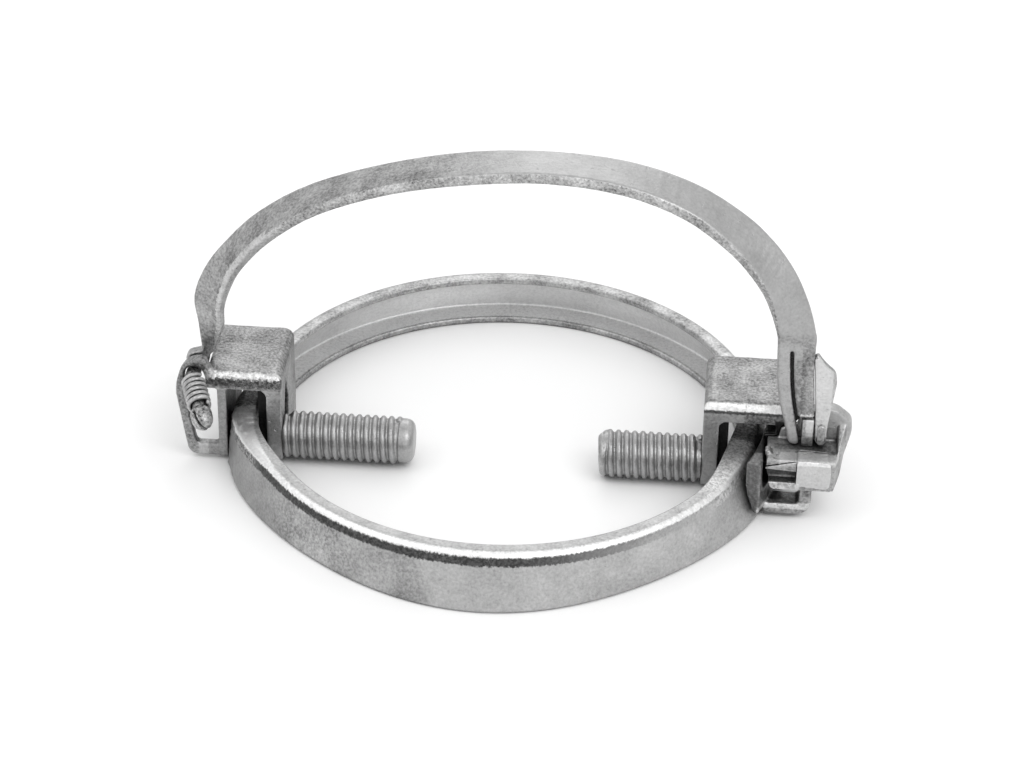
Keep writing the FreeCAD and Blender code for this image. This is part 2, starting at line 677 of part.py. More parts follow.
def make_block():
    """The latch block: base, front boss, groove, wedge recess, nub and rear cheek."""
    body = make_body("latch_block")
    left = block_left
    right = block_right
    cheek = make_sketch(body, "cheek_outline", "XZ_Plane", cheek_front)
    reach = cheek_reach
    crown = cheek_top
    side = boss_left - 0.15
    points = [(side, ledge), (side, crown - 1.6), (side + 5.2, crown - 0.1), (side + 7.4, crown),
              (reach - 0.2, crown - 2.8), (reach, crown - 4.9), (right, ledge)]
    add_outline(cheek, points, [0.0, 1.0, 1.0, 2.0, 1.6, 3.0, 1.7])
    add_pad(body, "cheek", cheek, "#cheek_thick", back=True)
    add_round(body, "cheek_round", "0.7",
              lambda middle, edge: abs(edge.tangentAt(edge.FirstParameter).y) < 0.01 and middle.z > ledge + 0.1,
              flat=True)

    base = make_sketch(body, "base_outline", "XZ_Plane", block_front)
    points = [(left + 1.1, ledge), (left, ledge + 2.9), (left, block_top), (right + 1.3, block_top), (right, ledge)]
    add_outline(base, points, [0.0, 0.0, 0.0, 0.0, 1.7])
    add_pad(body, "base", base, "#block_lead + #block_tail", back=True)

    boss = make_sketch(body, "boss_outline", "XZ_Plane", block_front + size("boss_proud"))
    points = [(boss_left, ledge + 1.6), (boss_left, boss_top), (right - 2.0, boss_top - 0.2),
              (right - 1.6, boss_top - 2.4), (right - 1.9, ledge + 0.9)]
    add_outline(boss, points, [0.0, 0.0, 0.8, 0.8, 1.2])
    add_pad(body, "boss", boss, "#boss_proud + #boss_depth", back=True)
    ahead = -block_front - size("boss_proud")
    add_round(body, "boss_round", "0.8",
              lambda middle, edge: abs(middle.y - ahead) < 0.01 and middle.z > boss_top - 0.6)

    groove = make_sketch(body, "groove_outline", "XY_Plane", boss_top + 0.6)
    behind = -block_front + size("boss_depth")
    wide = size("groove_width")
    add_outline(groove, [(boss_left + 0.3, behind - 0.4), (right - 2.2, behind - 0.4), (right - 2.2, behind + wide * 0.6),
                         (boss_left + 0.3, behind + wide)])
    add_pocket(body, "groove", groove, "1.5")

    recess = make_sketch(body, "recess_outline", "XZ_Plane", block_front + 0.5)
    low = ledge + size("recess_sill")
    add_outline(recess, [(left - 1.0, low), (boss_left, low), (boss_left, block_top - 0.1),
                         (left - 1.0, block_top - 1.8)])
    add_pocket(body, "recess", recess, "#recess_depth + 0.5")

    nub = make_sketch(body, "nub_outline", "XZ_Plane", block_front - 2.0)
    add_outline(nub, [(left - 0.4, block_top - 0.6), (left - 0.4, block_top + 1.1), (left + 1.9, block_top + 0.9),
                      (left + 2.2, block_top - 0.6)], [0.0, 0.4, 0.0, 0.0])
    add_pad(body, "nub", nub, "2", back=True)

    web = make_sketch(body, "web_outline", "XZ_Plane", cheek_front)
    add_outline(web, [(left + 2.0, block_top - 1.0), (left + 2.7, block_top + 2.2), (side + 0.6, block_top + 4.0),
                      (side + 0.6, block_top - 1.0)])
    add_pad(body, "web", web, "0.9", back=True)

    bed = make_sketch(body, "pin_bed_outline", "XZ_Plane", cheek_front + 0.5)
    radius = size("pin_radius") + size("fit_clearance")
    bed.addGeometry(Part.Circle(Vector(pin_line, pin_height, 0), Vector(0, 0, 1), radius), False)
    add_pocket(body, "pin_bed", bed, "#pin_bed + 0.5")
    return body


def make_wedge():
    """The wedge key that sits in the recess under the block's sloping lip."""
    body = make_body("latch_wedge")
    sketch = make_sketch(body, "wedge_outline", "XZ_Plane", block_front + 0.2)
    left = block_left
    right = boss_left - size("fit_clearance")
    add_outline(sketch, [(left - 0.2, block_top - 2.15), (left - 0.2, block_top - 1.75), (right, block_top - 0.2),
                         (right, block_top - 2.5)])
    add_pad(body, "wedge", sketch, "#recess_depth + 0.2", back=True)
    return body


def make_post():
    """The square keeper post that stands under the fork's tongue, beside the prong."""
    body = make_body("keeper_post")
    sketch = make_sketch(body, "post_outline", "XY_Plane", block_top)
    left = prong_foot + size("prong_width") + size("side_gap")
    right = fork_right + size("tongue_flare")
    add_outline(sketch, [(left, -fork_centre - half_strap), (right, -fork_centre - half_strap),
                         (right, -cheek_front), (left, -cheek_front)])
    add_pad(body, "post", sketch, "#post_height")
    return body


def make_catch():
    """The catch lever, which hangs on its pin beside the fork."""
    body = make_body("catch_lever")
    sketch = make_sketch(body, "catch_outline", "XZ_Plane", cheek_front + size("side_gap") + size("catch_thick"))
    hub = size("catch_hub")
    long = size("catch_length")
    wide = size("catch_width")
    high = pin_height + long
    left = catch_left
    slant = size("tongue_flare") + size("fork_waist")
    points = [(left, pin_height - hub), (left, high - 0.72 * long), (left - slant, high - 0.02 * long),
              (left - 0.04 * wide, high), (left + 0.3 * wide, high - 0.115 * long),
              (left + 0.76 * wide, high - 0.18 * long), (left + wide, high - 0.26 * long),
              (left + 0.87 * wide, high - 0.5 * long), (left + 2 * hub, high - 0.82 * long),
              (left + 2 * hub, pin_height - hub)]
    add_outline(sketch, points, [hub * 0.99, 3.0, 0.3, 0.3, 1.5, 0.8, 1.2, 3.0, 2.0, hub * 0.99])
    add_pad(body, "catch", sketch, "#catch_thick", back=True)
    bore = make_sketch(body, "catch_bore_outline", "XZ_Plane", fork_centre + 4.0)
    radius = size("pin_radius") + size("fit_clearance")
    bore.addGeometry(Part.Circle(Vector(pin_line, pin_height, 0), Vector(0, 0, 1), radius), False)
    add_pocket(body, "catch_bore", bore, "6")
    return body


def make_pin():
    """The catch pin: a round shaft into the cheek and an oval head in front of the lever."""
    body = make_body("catch_pin")
    lever_front = cheek_front + size("side_gap") + size("catch_thick")
    radius = size("pin_radius")
    head = make_sketch(body, "head_outline", "XZ_Plane", lever_front + size("pin_head"))
    points = [(pin_line - radius, pin_height - radius), (pin_line + radius, pin_height - radius),
              (pin_line + radius, pin_height + 3.8), (pin_line - radius, pin_height + 3.8)]
    add_outline(head, points, [radius * 0.99] * 4)
    add_pad(body, "head", head, "#pin_head - #fit_clearance", back=True)
    shaft = make_sketch(body, "shaft_outline", "XZ_Plane", lever_front + 0.3)
    shaft.addGeometry(Part.Circle(Vector(pin_line, pin_height, 0), Vector(0, 0, 1), radius), False)
    add_pad(body, "shaft", shaft, "#pin_bed + #side_gap + #catch_thick + 0.25", back=True)
    return body


pieces = [
    make_band(),
    make_left_saddle(),
    make_right_saddle(),
    make_stud(-1, "left_stud", left_bar, "left_stud_reach", "dome"),
    make_stud(1, "right_stud", right_bar, "right_stud_reach", "flat"),
    make_bail(),
    make_rod(),
    make_wire(),
    make_block(),
    make_wedge(),
    make_post(),
    make_catch(),
    make_pin(),
]
doc.recompute()

# every object and shape is checked before a file is written
for item in doc.Objects:
    if "Invalid" in item.State or "Error" in item.State:
        raise RuntimeError("%s is not well: %s" % (item.Name, item.State))
os.makedirs("parts", exist_ok=True)
for body in pieces:
    if body.Shape.isNull() or not body.Shape.isValid():
        raise RuntimeError("%s has no valid shape" % body.Label)
for body in pieces:
    body.Shape.exportStep("parts/%s.step" % body.Label)
    box = body.Shape.BoundBox
    print("%s: %.1f mm3, %d solid, x %.2f..%.2f y %.2f..%.2f z %.2f..%.2f" % (
        body.Label, body.Shape.Volume, len(body.Shape.Solids), box.XMin, box.XMax, box.YMin, box.YMax,
        box.ZMin, box.ZMax))
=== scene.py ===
"""Dress the hinged bail clamp: bent sheet, rolled threads, bound wire and blasted satin steel.

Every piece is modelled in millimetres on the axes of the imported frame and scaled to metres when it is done.
"""

import logging
import math
from dataclasses import dataclass, replace
from enum import Enum
from typing import Callable, Optional, Sequence, Union

import bmesh
import bpy
from bpy.types import Material, Node, NodeSocket, NodeTree, Object, Texture
from mathutils import Matrix, Vector, kdtree


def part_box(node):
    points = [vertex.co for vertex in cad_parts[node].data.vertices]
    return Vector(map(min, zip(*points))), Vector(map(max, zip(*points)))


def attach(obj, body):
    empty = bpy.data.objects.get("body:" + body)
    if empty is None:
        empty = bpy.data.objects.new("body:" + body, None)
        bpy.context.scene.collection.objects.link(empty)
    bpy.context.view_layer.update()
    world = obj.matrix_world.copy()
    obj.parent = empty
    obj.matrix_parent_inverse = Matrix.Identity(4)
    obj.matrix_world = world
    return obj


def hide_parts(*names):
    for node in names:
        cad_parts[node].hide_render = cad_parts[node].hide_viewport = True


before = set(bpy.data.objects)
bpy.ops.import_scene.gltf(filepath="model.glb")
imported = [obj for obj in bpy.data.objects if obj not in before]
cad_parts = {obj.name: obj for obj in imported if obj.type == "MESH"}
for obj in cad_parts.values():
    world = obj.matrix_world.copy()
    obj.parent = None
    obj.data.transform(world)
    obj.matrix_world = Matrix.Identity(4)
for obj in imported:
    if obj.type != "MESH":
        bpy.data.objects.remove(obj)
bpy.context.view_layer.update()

MM = 0.001
FULL_TURN = 2 * math.pi
ORIGIN = (0, 0, 0)
X_AXIS, Z_AXIS = (1, 0, 0), (0, 0, 1)
AHEAD = Vector((0, -1, 0))
NUMBER, VECTOR = "NodeSocketFloat", "NodeSocketVector"
LOG = logging.getLogger("bail_clamp")
Flat = tuple[float, float]
Spot = tuple[float, float, float]
Keep = Callable[[Vector], bool]
Fed = Union[float, Spot, NodeSocket]


class Body(Enum):
    """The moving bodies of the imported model."""

    CLAMP = "clamp"
    BAIL = "bail"
    CATCH = "catch"


class Slot(Enum):
    """The record's material slots."""

    BAND = "band_steel"
    SADDLE = "saddle_steel"
    STUD = "stud_steel"
    BAIL = "bail_steel"
    WIRE = "wire_steel"
    LATCH = "latch_steel"


class Plane(Enum):
    """The plane that an outline is drawn in."""

    XZ = "front"
    YZ = "side"
    XY = "top"

    def spot(self, point: Flat, at: float) -> Vector:
        """Give the place of a flat point, at a distance along the plane's axis.

        Args:
            point: The point's two coordinates.
            at: The distance.

        Returns:
            The place.
        """
        a, b = point
        places = {Plane.XZ: (a, at, b), Plane.YZ: (at, a, b), Plane.XY: (a, b, at)}
        return Vector(places[self])

    def along(self, distance: float) -> Vector:
        """Give a step along the plane's axis."""
        steps = {Plane.XZ: (0, distance, 0), Plane.YZ: (distance, 0, 0), Plane.XY: (0, 0, distance)}
        return Vector(steps[self])


class Part(Enum):
    """What is picked in an open mesh."""

    CORNER = "VERT"
    EDGE = "EDGE"

def node_box(node: str) -> tuple[Vector, Vector]:
    """Give the low and high corners of a CAD node in millimetres."""
    low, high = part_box(node)
    return Vector(low) / MM, Vector(high) / MM


# Modelling


class Bench:
    """Modelling steps that every piece is made with."""

    near = 1e-3

    @staticmethod
    def clear() -> None:
        """Leave edit mode and select nothing."""
        if bpy.context.object and bpy.context.object.mode != "OBJECT":
            bpy.ops.object.mode_set(mode="OBJECT")
        bpy.ops.object.select_all(action="DESELECT")

    @staticmethod
    def pick(obj: Object) -> None:
        """Select one object alone and make it active.

        Args:
            obj: The object.
        """
        Bench.clear()
        obj.select_set(True)
        bpy.context.view_layer.objects.active = obj

    @staticmethod
    def edit(obj: Object) -> None:
        """Open an object in edit mode with nothing in it selected.

        Args:
            obj: The object.
        """
        Bench.pick(obj)
        bpy.ops.object.mode_set(mode="EDIT")
        bpy.ops.mesh.select_all(action="DESELECT")

    @staticmethod
    def all_in() -> None:
        """Select all of the edited mesh."""
        bpy.ops.mesh.select_all(action="SELECT")

    @staticmethod
    def settle() -> None:
        """Apply the places, turns and scales of the selected objects to their meshes."""
        bpy.ops.object.transform_apply(location=True, rotation=True, scale=True)

    @staticmethod
    def mark(obj: Object, part: Part, keep: Keep) -> int:
        """Select the corners or edges of the edited mesh whose middles pass a test.

        Args:
            obj: The object that is open in edit mode.
            part: What is picked.
            keep: The test on a middle point.

        Returns:
            How many were selected.
        """
        bpy.ops.mesh.select_mode(type=part.value)
        bpy.ops.mesh.select_all(action="DESELECT")
        mesh = bmesh.from_edit_mesh(obj.data)
        count = 0
        for item in mesh.verts if part is Part.CORNER else mesh.edges:
            middle = item.co if part is Part.CORNER else (item.verts[0].co + item.verts[1].co) / 2
            if keep(middle):
                item.select = True
                count += 1
        mesh.select_flush_mode()
        bmesh.update_edit_mesh(obj.data)
        return count

    @staticmethod
    def line(name: str, spots: Sequence[Vector], close: bool = True) -> Object:
        """Draw a line of points by extruding one vertex from point to point.

        Args:
            name: The object's name.
            spots: The points in order.
            close: Whether the last point joins the first and the outline gets a face.

        Returns:
            The object, open in edit mode.
        """
        Bench.clear()
        bpy.ops.mesh.primitive_plane_add(size=1.0, location=ORIGIN)
        obj = bpy.context.object
        obj.name = obj.data.name = name
        bpy.ops.object.mode_set(mode="EDIT")
        bpy.ops.mesh.select_mode(type="VERT")
        Bench.all_in()
        bpy.ops.mesh.merge(type="CENTER")
        bpy.ops.transform.translate(value=spots[0])
        for before, after in zip(spots, spots[1:]):
            Bench.extrude(after - before)
        if close:
            ends = (spots[0], spots[-1])
            Bench.mark(obj, Part.CORNER, lambda at: min((at - end).length for end in ends) < Bench.near)
            bpy.ops.mesh.edge_face_add()
            Bench.all_in()
            bpy.ops.mesh.edge_face_add()
        return obj

    @staticmethod
    def round_corners(obj: Object, spots: Sequence[Vector], radii: Sequence[float]) -> None:
        """Round drawn corners, each by its own reach along its two sides.

        Args:
            obj: The object that is open in edit mode.
            spots: The corners.
            radii: The reach of each round.
        """
        for spot, radius in zip(spots, radii):
            if radius > 0 and Bench.mark(obj, Part.CORNER, lambda at: (at - spot).length < Bench.near):
                bpy.ops.mesh.bevel(offset=radius, segments=6, affect="VERTICES", clamp_overlap=True)

    @staticmethod
    def turned(name: str, points: Sequence[Flat], axis: Spot, steps: int,
               radii: Optional[Sequence[float]] = None) -> Object:
        """Turn an outline of the front plane all the way round an axis through the origin.

        Args:
            name: The object's name.
            points: The outline's corners.
            axis: The axis.
            steps: How many faces go round it.
            radii: The reach of each corner's round.

        Returns:
            The turned solid.
        """
        spots = [Plane.XZ.spot(point, 0.0) for point in points]
        obj = Bench.line(name, spots)
        Bench.round_corners(obj, spots, radii or [0.0] * len(spots))
        Bench.all_in()
        bpy.ops.mesh.delete(type="ONLY_FACE")
        Bench.all_in()
        bpy.ops.mesh.spin(steps=steps, angle=FULL_TURN, center=ORIGIN, axis=axis)
        Bench.face_out(obj)
        return obj

    @staticmethod
    def cylinder(place: Spot, radius: float, length: float, sides: int = 32) -> Object:
        """Make a cylinder that lies along y.

        Args:
            place: Its middle.
            radius: Its radius.
            length: Its length.
            sides: How many faces go round it.

        Returns:
            The cylinder.
        """
        Bench.clear()
        bpy.ops.mesh.primitive_cylinder_add(vertices=sides, radius=radius, depth=length, location=place,
                                            rotation=(math.pi / 2, 0, 0))
        obj = bpy.context.object
        Bench.settle()
        return obj

    @staticmethod
    def plate(name: str, plane: Plane, at: float, points: Sequence[Flat], depth: float,
              radii: Optional[Sequence[float]] = None, edge: float = 0.0) -> Object:
        """Make a plate: an outline with rounded corners, extruded and softened along its edges.

        Args:
            name: The object's name.
            plane: The plane of the outline.
            at: The outline's place along the plane's axis.
            points: The outline's corners.
            depth: How far the outline is extruded along the plane's axis.
            radii: The reach of each corner's round.
            edge: The width of the soft bevel along the plate's edges.

        Returns:
            The plate.
        """
        spots = [plane.spot(point, at) for point in points]
        obj = Bench.line(name, spots)
        Bench.round_corners(obj, spots, radii or [0.0] * len(spots))
        Bench.all_in()
        Bench.extrude(plane.along(depth))
        Bench.face_out(obj)
        if edge:
            Bench.blunt(obj, edge, 40)
        return obj

    @staticmethod
    def extrude(step: Spot) -> None:
        """Extrude what is selected in the edited mesh."""
        bpy.ops.mesh.extrude_region_move(TRANSFORM_OT_translate={"value": step})

    @staticmethod
    def blunt(obj: Object, width: float, angle: float) -> None:
        """Bevel all edges sharper than an angle in degrees."""
        Bench.modify(obj, "BEVEL", width=width, segments=3, limit_method="ANGLE", angle_limit=math.radians(angle))

    @staticmethod
    def face_out(obj: Object) -> None:
        """Merge doubles, turn all faces outwards and leave edit mode.

        Args:
            obj: The object.
        """
        if obj.mode != "EDIT":
            Bench.edit(obj)
        Bench.all_in()
        bpy.ops.mesh.remove_doubles(threshold=Bench.near)
        bpy.ops.mesh.normals_make_consistent(inside=False)
        bpy.ops.object.mode_set(mode="OBJECT")

    @staticmethod
    def soften(obj: Object, width: float, keep: Keep) -> None:
        """Round the edges whose middles pass a test.

        Args:
            obj: The object.
            width: The reach of the round.
            keep: The test on an edge's middle.
        """
        Bench.edit(obj)
        if Bench.mark(obj, Part.EDGE, keep):
            bpy.ops.mesh.bevel(offset=width, segments=5, affect="EDGES", clamp_overlap=True)
        bpy.ops.object.mode_set(mode="OBJECT")

    @staticmethod
    def modify(obj: Object, kind: str, **settings: object) -> None:
        """Add a modifier with its settings and apply it.

        Args:
            obj: The object.
            kind: The modifier's type.
            settings: Its settings.
        """
        Bench.pick(obj)
        modifier = obj.modifiers.new(kind.lower(), kind)
        for name, value in settings.items():
            setattr(modifier, name, value)
        bpy.ops.object.modifier_apply(modifier=modifier.name)

    @staticmethod
    def cut(obj: Object, cutter: Object) -> None:
        """Cut one solid out of another and remove the cutter."""
        Bench.modify(obj, "BOOLEAN", operation="DIFFERENCE", solver="EXACT", object=cutter)
        bpy.data.objects.remove(cutter, do_unlink=True)

    @staticmethod
    def fuse(name: str, parts: Sequence[Object], voxel: float, smooth: int) -> Object:
        """Forge overlapping solids into one skin with soft edges.

        Args:
            name: The new object's name.
            parts: Closed solids that overlap.
            voxel: The size of the new skin's cells.
            smooth: How many times the skin is smoothed.

        Returns:
            The forged piece.
        """
        Bench.clear()
        for part in parts:
            part.select_set(True)
        bpy.context.view_layer.objects.active = parts[0]
        if len(parts) > 1:
            bpy.ops.object.join()
        obj = bpy.context.view_layer.objects.active
        obj.name = obj.data.name = name
        Bench.modify(obj, "REMESH", mode="VOXEL", voxel_size=voxel, adaptivity=0.0)
        Bench.modify(obj, "SMOOTH", factor=0.5, iterations=smooth)
        return obj

    @staticmethod
    def ripple(obj: Object, texture: Texture, depth: float) -> None:
        """Work a surface slightly uneven, as forging leaves it."""
        Bench.modify(obj, "DISPLACE", texture=texture, texture_coords="LOCAL", strength=depth, mid_level=0.5)

    @staticmethod
    def push(obj: Object, axis: str, reach: float, group: str) -> None:
        """Shift the weighted part of an object along an axis."""
        Bench.modify(obj, "DISPLACE", direction=axis, strength=reach, mid_level=0.0, vertex_group=group)

    @staticmethod
    def dress(obj: Object, material: Material, faces: Sequence[int]) -> None:
        """Give some faces of a piece a further material.

        Args:
            obj: The piece.
            material: The material.
            faces: The faces' numbers.
        """
        obj.data.materials.append(material)
        for index in faces:
            obj.data.polygons[index].material_index = len(obj.data.materials) - 1

    @staticmethod
    def weigh(obj: Object, name: str, weight: Callable[[Vector], float]) -> str:
        """Give an object a vertex group whose weights follow the place.

        Args:
            obj: The object.
            name: The group's name.
            weight: The weight at a place.

        Returns:
            The group's name.
        """
        group = obj.vertex_groups.new(name=name)
        for vertex in obj.data.vertices:
            share = weight(vertex.co)
            if share > 0.001:
                group.add([vertex.index], min(share, 1.0), "REPLACE")
        return name

    @staticmethod
    def turn_to(obj: Object, origin: Vector, x_axis: Vector, y_axis: Vector) -> None:
        """Place an object by its origin and its first two axes, and apply that to its mesh.

        Args:
            obj: The object.
            origin: Where its origin goes.
            x_axis: Its first axis.
            y_axis: A direction in the plane of its first two axes.
        """
        x_axis = x_axis.normalized()
        z_axis = x_axis.cross(y_axis).normalized()
        turn = Matrix((x_axis, z_axis.cross(x_axis), z_axis)).transposed()
        Bench.pick(obj)
        obj.matrix_world = Matrix.Translation(origin) @ turn.to_4x4()
        Bench.settle()

    @staticmethod
    def done(obj: Object, body: Body, slot: Slot, nodes: Sequence[str], finish: Material,
             angle: float = 180.0) -> Object:
        """Scale a piece to metres, shade and dress it, and put it in place of its CAD nodes.

        Args:
            obj: The piece in millimetres.
            body: The body that it rides on.
            slot: The record's slot for its finish; it is not used.
            nodes: The CAD nodes that it stands for.
            finish: Its material.
            angle: Edges sharper than this many degrees stay sharp.

        Returns:
            The piece.
        """
        Bench.pick(obj)
        obj.scale = (MM, MM, MM)
        Bench.settle()
        bpy.ops.object.shade_smooth_by_angle(angle=math.radians(angle))
        obj.data.materials.clear()
        obj.data.materials.append(finish)
        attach(obj, body.value)
        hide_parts(*nodes)
        LOG.info("%s: %d faces on %s", obj.name, len(obj.data.polygons), body.value)
        return obj


# Finishes


def wire_up(tree: NodeTree, start: NodeSocket, end: NodeSocket) -> None:
    """Link two sockets."""
    tree.links.new(start, end)


def add_node(tree: NodeTree, kind: str, inputs: Optional[dict[Union[int, str], Fed]] = None,
             **settings: object) -> Node:
    """Add a shader node with its settings, and feed its sockets.

    Args:
        tree: The tree that it goes into.
        kind: Its type, after the word ShaderNode.
        inputs: What each socket gets, by its name or number: a value, or the socket that it is linked to.
        settings: The node's own settings.

    Returns:
        The node.
    """
    node = tree.nodes.new("ShaderNode" + kind)
    for name, value in settings.items():
        setattr(node, name, value)
    for label, value in (inputs or {}).items():
        if isinstance(value, NodeSocket):
            wire_up(tree, value, node.inputs[label])
        else:
            node.inputs[label].default_value = value
    return node


def reckon(tree: NodeTree, kind: str, first: Fed, second: Fed) -> NodeSocket:
    """Add a sum on two numbers and give its result."""
    return add_node(tree, "Math", {0: first, 1: second}, operation=kind).outputs[0]


def reckon_vector(tree: NodeTree, kind: str, first: Fed, second: Optional[Fed] = None) -> NodeSocket:
    """Add a sum on vectors and give its result.

    Args:
        tree: The tree that it goes into.
        kind: The operation.
        first: The first vector.
        second: The second vector, or the factor of a scale.

    Returns:
        The socket of the result.
    """
    inputs = {0: first} if second is None else {0: first, "Scale" if kind == "SCALE" else 1: second}
    return add_node(tree, "VectorMath", inputs, operation=kind).outputs[0]


def new_group(name: str, inputs: dict[str, str], outputs: dict[str, str]) -> tuple:
    """Start a node group with named sockets.

    Args:
        name: The group's name.
        inputs: The socket type of each input, by its name.
        outputs: The socket type of each output, by its name.

    Returns:
        The tree, the sockets that carry its inputs and the sockets that take its outputs.
    """
    tree = bpy.data.node_groups.new(name, "ShaderNodeTree")
    for way, sockets in (("INPUT", inputs), ("OUTPUT", outputs)):
        for label, kind in sockets.items():
            tree.interface.new_socket(name=label, in_out=way, socket_type=kind)
    return tree, tree.nodes.new("NodeGroupInput").outputs, tree.nodes.new("NodeGroupOutput").inputs


class SharedEffects:
    """The node groups that all finishes share.

    They are grain, brushing, edge wear with painted highlight, painted crevice shade, ragged zones of painted light
    and shade, and places round the ring's axis.
    """

    crevice_reach = 2.0 * MM
    circle = 55.0 * MM

    def __init__(self) -> None:
        """Build each group once."""
        self.grain = self.make_grain()
        self.brushing = self.make_brushing()
        self.edges = self.make_edges()
        self.crevices = self.make_crevices()
        self.zone = self.make_zone()
        self.around = self.make_around()

    @staticmethod
    def make_grain() -> NodeTree:
        """Blasted grain: a fine sparkle over a coarser mottle, with rare pits.

        Returns:
            The group's tree.
        """
        tree, given, result = new_group("blasted_grain", {"Vector": VECTOR, "Scale": NUMBER},
                                        {"Fine": NUMBER, "Mottle": NUMBER, "Pits": NUMBER})
        noises = {}
        for label, share, detail, rough in (("Fine", 1.0, 3.0, 0.65), ("Mottle", 0.09, 4.0, 0.6),
                                            ("Pits", 0.55, 2.0, 0.5)):
            scale = reckon(tree, "MULTIPLY", given["Scale"], share)
            noises[label] = add_node(tree, "TexNoise", {"Vector": given["Vector"], "Scale": scale, "Detail": detail,
                                                        "Roughness": rough}).outputs["Fac"]
        ramp = add_node(tree, "MapRange", {"Value": noises["Pits"], "From Min": 0.66, "From Max": 0.78})
        noises["Pits"] = ramp.outputs["Result"]
        for label, noise in noises.items():
            wire_up(tree, noise, result[label])
        return tree

    @staticmethod
    def make_brushing() -> NodeTree:
        """Brushed lines: noise stretched along one direction of the piece.

        Returns:
            The group's tree.
        """
        tree, given, result = new_group("brushed_lines", {"Vector": VECTOR, "Stretch": VECTOR}, {"Lines": NUMBER})
        place = reckon_vector(tree, "MULTIPLY", given["Vector"], given["Stretch"])
        noise = add_node(tree, "TexNoise", {"Vector": place, "Scale": 1.0, "Detail": 4.0, "Roughness": 0.6})
        wire_up(tree, noise.outputs["Fac"], result["Lines"])
        return tree

    @staticmethod
    def make_edges() -> NodeTree:
        """Edge wear and painted highlight: brighter where the surface turns within a small radius.

        Returns:
            The group's tree.
        """
        tree, given, result = new_group("edge_wear_and_highlight", {"Radius": NUMBER}, {"Mask": NUMBER})
        rounded = add_node(tree, "Bevel", {"Radius": given["Radius"]}, samples=6).outputs["Normal"]
        plain = add_node(tree, "NewGeometry").outputs["Normal"]
        turn = add_node(tree, "VectorMath", {0: rounded, 1: plain}, operation="DOT_PRODUCT").outputs["Value"]
        ramp = add_node(tree, "MapRange", {"Value": turn, "From Min": 0.995, "From Max": 0.90})
        wire_up(tree, ramp.outputs["Result"], result["Mask"])
        return tree

    @staticmethod
    def make_crevices() -> NodeTree:
        """Painted crevice shade: darker where neighbours close the surface in.

        Returns:
            The group's tree.
        """
        tree, _, result = new_group("painted_crevice_shade", {}, {"Mask": NUMBER})
        closed = add_node(tree, "AmbientOcclusion", {"Distance": SharedEffects.crevice_reach}, samples=8)
        ramp = add_node(tree, "MapRange", {"Value": closed.outputs["AO"], "From Min": 0.75, "From Max": 0.15})
        wire_up(tree, ramp.outputs["Result"], result["Mask"])
        return tree

    @staticmethod
    def make_zone() -> NodeTree:
        """Ragged zones: a box of space with soft, frayed borders, which masks painted light and shade.

        Returns:
            The group's tree.
        """
        tree, given, result = new_group("ragged_zone", {"Vector": VECTOR, "Middle": VECTOR, "Half": VECTOR,
                                                        "Soft": VECTOR, "Ragged": NUMBER, "Speckle": NUMBER},
                                        {"Mask": NUMBER})
        frayed = add_node(tree, "TexNoise", {"Vector": given["Vector"], "Scale": 1300.0, "Detail": 6.0,
                                             "Roughness": 0.75})
        swing = reckon_vector(tree, "SUBTRACT", frayed.outputs["Color"], (0.5, 0.5, 0.5))
        swing = reckon_vector(tree, "SCALE", swing, given["Ragged"])
        place = reckon_vector(tree, "ADD", given["Vector"], swing)
        off = reckon_vector(tree, "ABSOLUTE", reckon_vector(tree, "SUBTRACT", place, given["Middle"]))
        over = reckon_vector(tree, "DIVIDE", reckon_vector(tree, "SUBTRACT", off, given["Half"]), given["Soft"])
        split = add_node(tree, "SeparateXYZ", {0: over}).outputs
        widest = reckon(tree, "MAXIMUM", reckon(tree, "MAXIMUM", split["X"], split["Y"]), split["Z"])
        inside = add_node(tree, "MapRange", {"Value": widest, "From Min": 1.0, "From Max": 0.0},
                          interpolation_type="SMOOTHSTEP")
        grains = add_node(tree, "MapRange", {"Value": frayed.outputs["Fac"], "From Min": 0.56, "From Max": 0.44})
        thin = reckon(tree, "MULTIPLY", grains.outputs["Result"], given["Speckle"])
        mask = reckon(tree, "MULTIPLY", inside.outputs["Result"], reckon(tree, "SUBTRACT", 1.0, thin))
        wire_up(tree, mask, result["Mask"])
        return tree

    @staticmethod
    def make_around() -> NodeTree:
        """Places on a ring: distance from the axis, way along a circle of 55 mm, and height.

        Returns:
            The group's tree.
        """
        tree, given, result = new_group("round_places", {"Vector": VECTOR}, {"Vector": VECTOR})
        split = add_node(tree, "SeparateXYZ", {0: given["Vector"]}).outputs
        flat = add_node(tree, "CombineXYZ", {"X": split["X"], "Y": split["Y"]})
        reach = add_node(tree, "VectorMath", {0: flat.outputs[0]}, operation="LENGTH").outputs["Value"]
        arc = reckon(tree, "MULTIPLY", reckon(tree, "ARCTAN2", split["Y"], split["X"]), SharedEffects.circle)
        joined = add_node(tree, "CombineXYZ", {"X": reach, "Y": arc, "Z": split["Z"]})
        wire_up(tree, joined.outputs[0], result["Vector"])
        return tree


@dataclass(frozen=True)
class Zone:
    """A part of a piece that is lighter or darker, as the photograph shows it, painted as highlight or lit face where
    lighter and as shade where darker.

    Attributes:
        low: The box's low corner in millimetres.
        high: Its high corner.
        tone: The tone that it draws the metal to.
        share: How far it does so.
        soft: How far its border fades along each axis, in millimetres.
        ragged: How far its border is frayed.
        speckle: How far grains of the metal's own tone show in it.
    """

    low: Spot
    high: Spot
    tone: float
    share: float
    soft: Spot = (0.4, 0.4, 0.4)
    ragged: float = 1.0
    speckle: float = 0.5

    def sockets(self) -> dict[str, Fed]:
        """Give the values of the ragged zone's sockets, in metres.

        Returns:
            The values by the sockets' names.
        """
        middle = tuple((a + b) / 2 * MM for a, b in zip(self.low, self.high))
        half = tuple((b - a) / 2 * MM for a, b in zip(self.low, self.high))
        soft = tuple(reach * MM for reach in self.soft)
        return {"Middle": middle, "Half": half, "Soft": soft, "Speckle": self.speckle, "Ragged": self.ragged * MM}


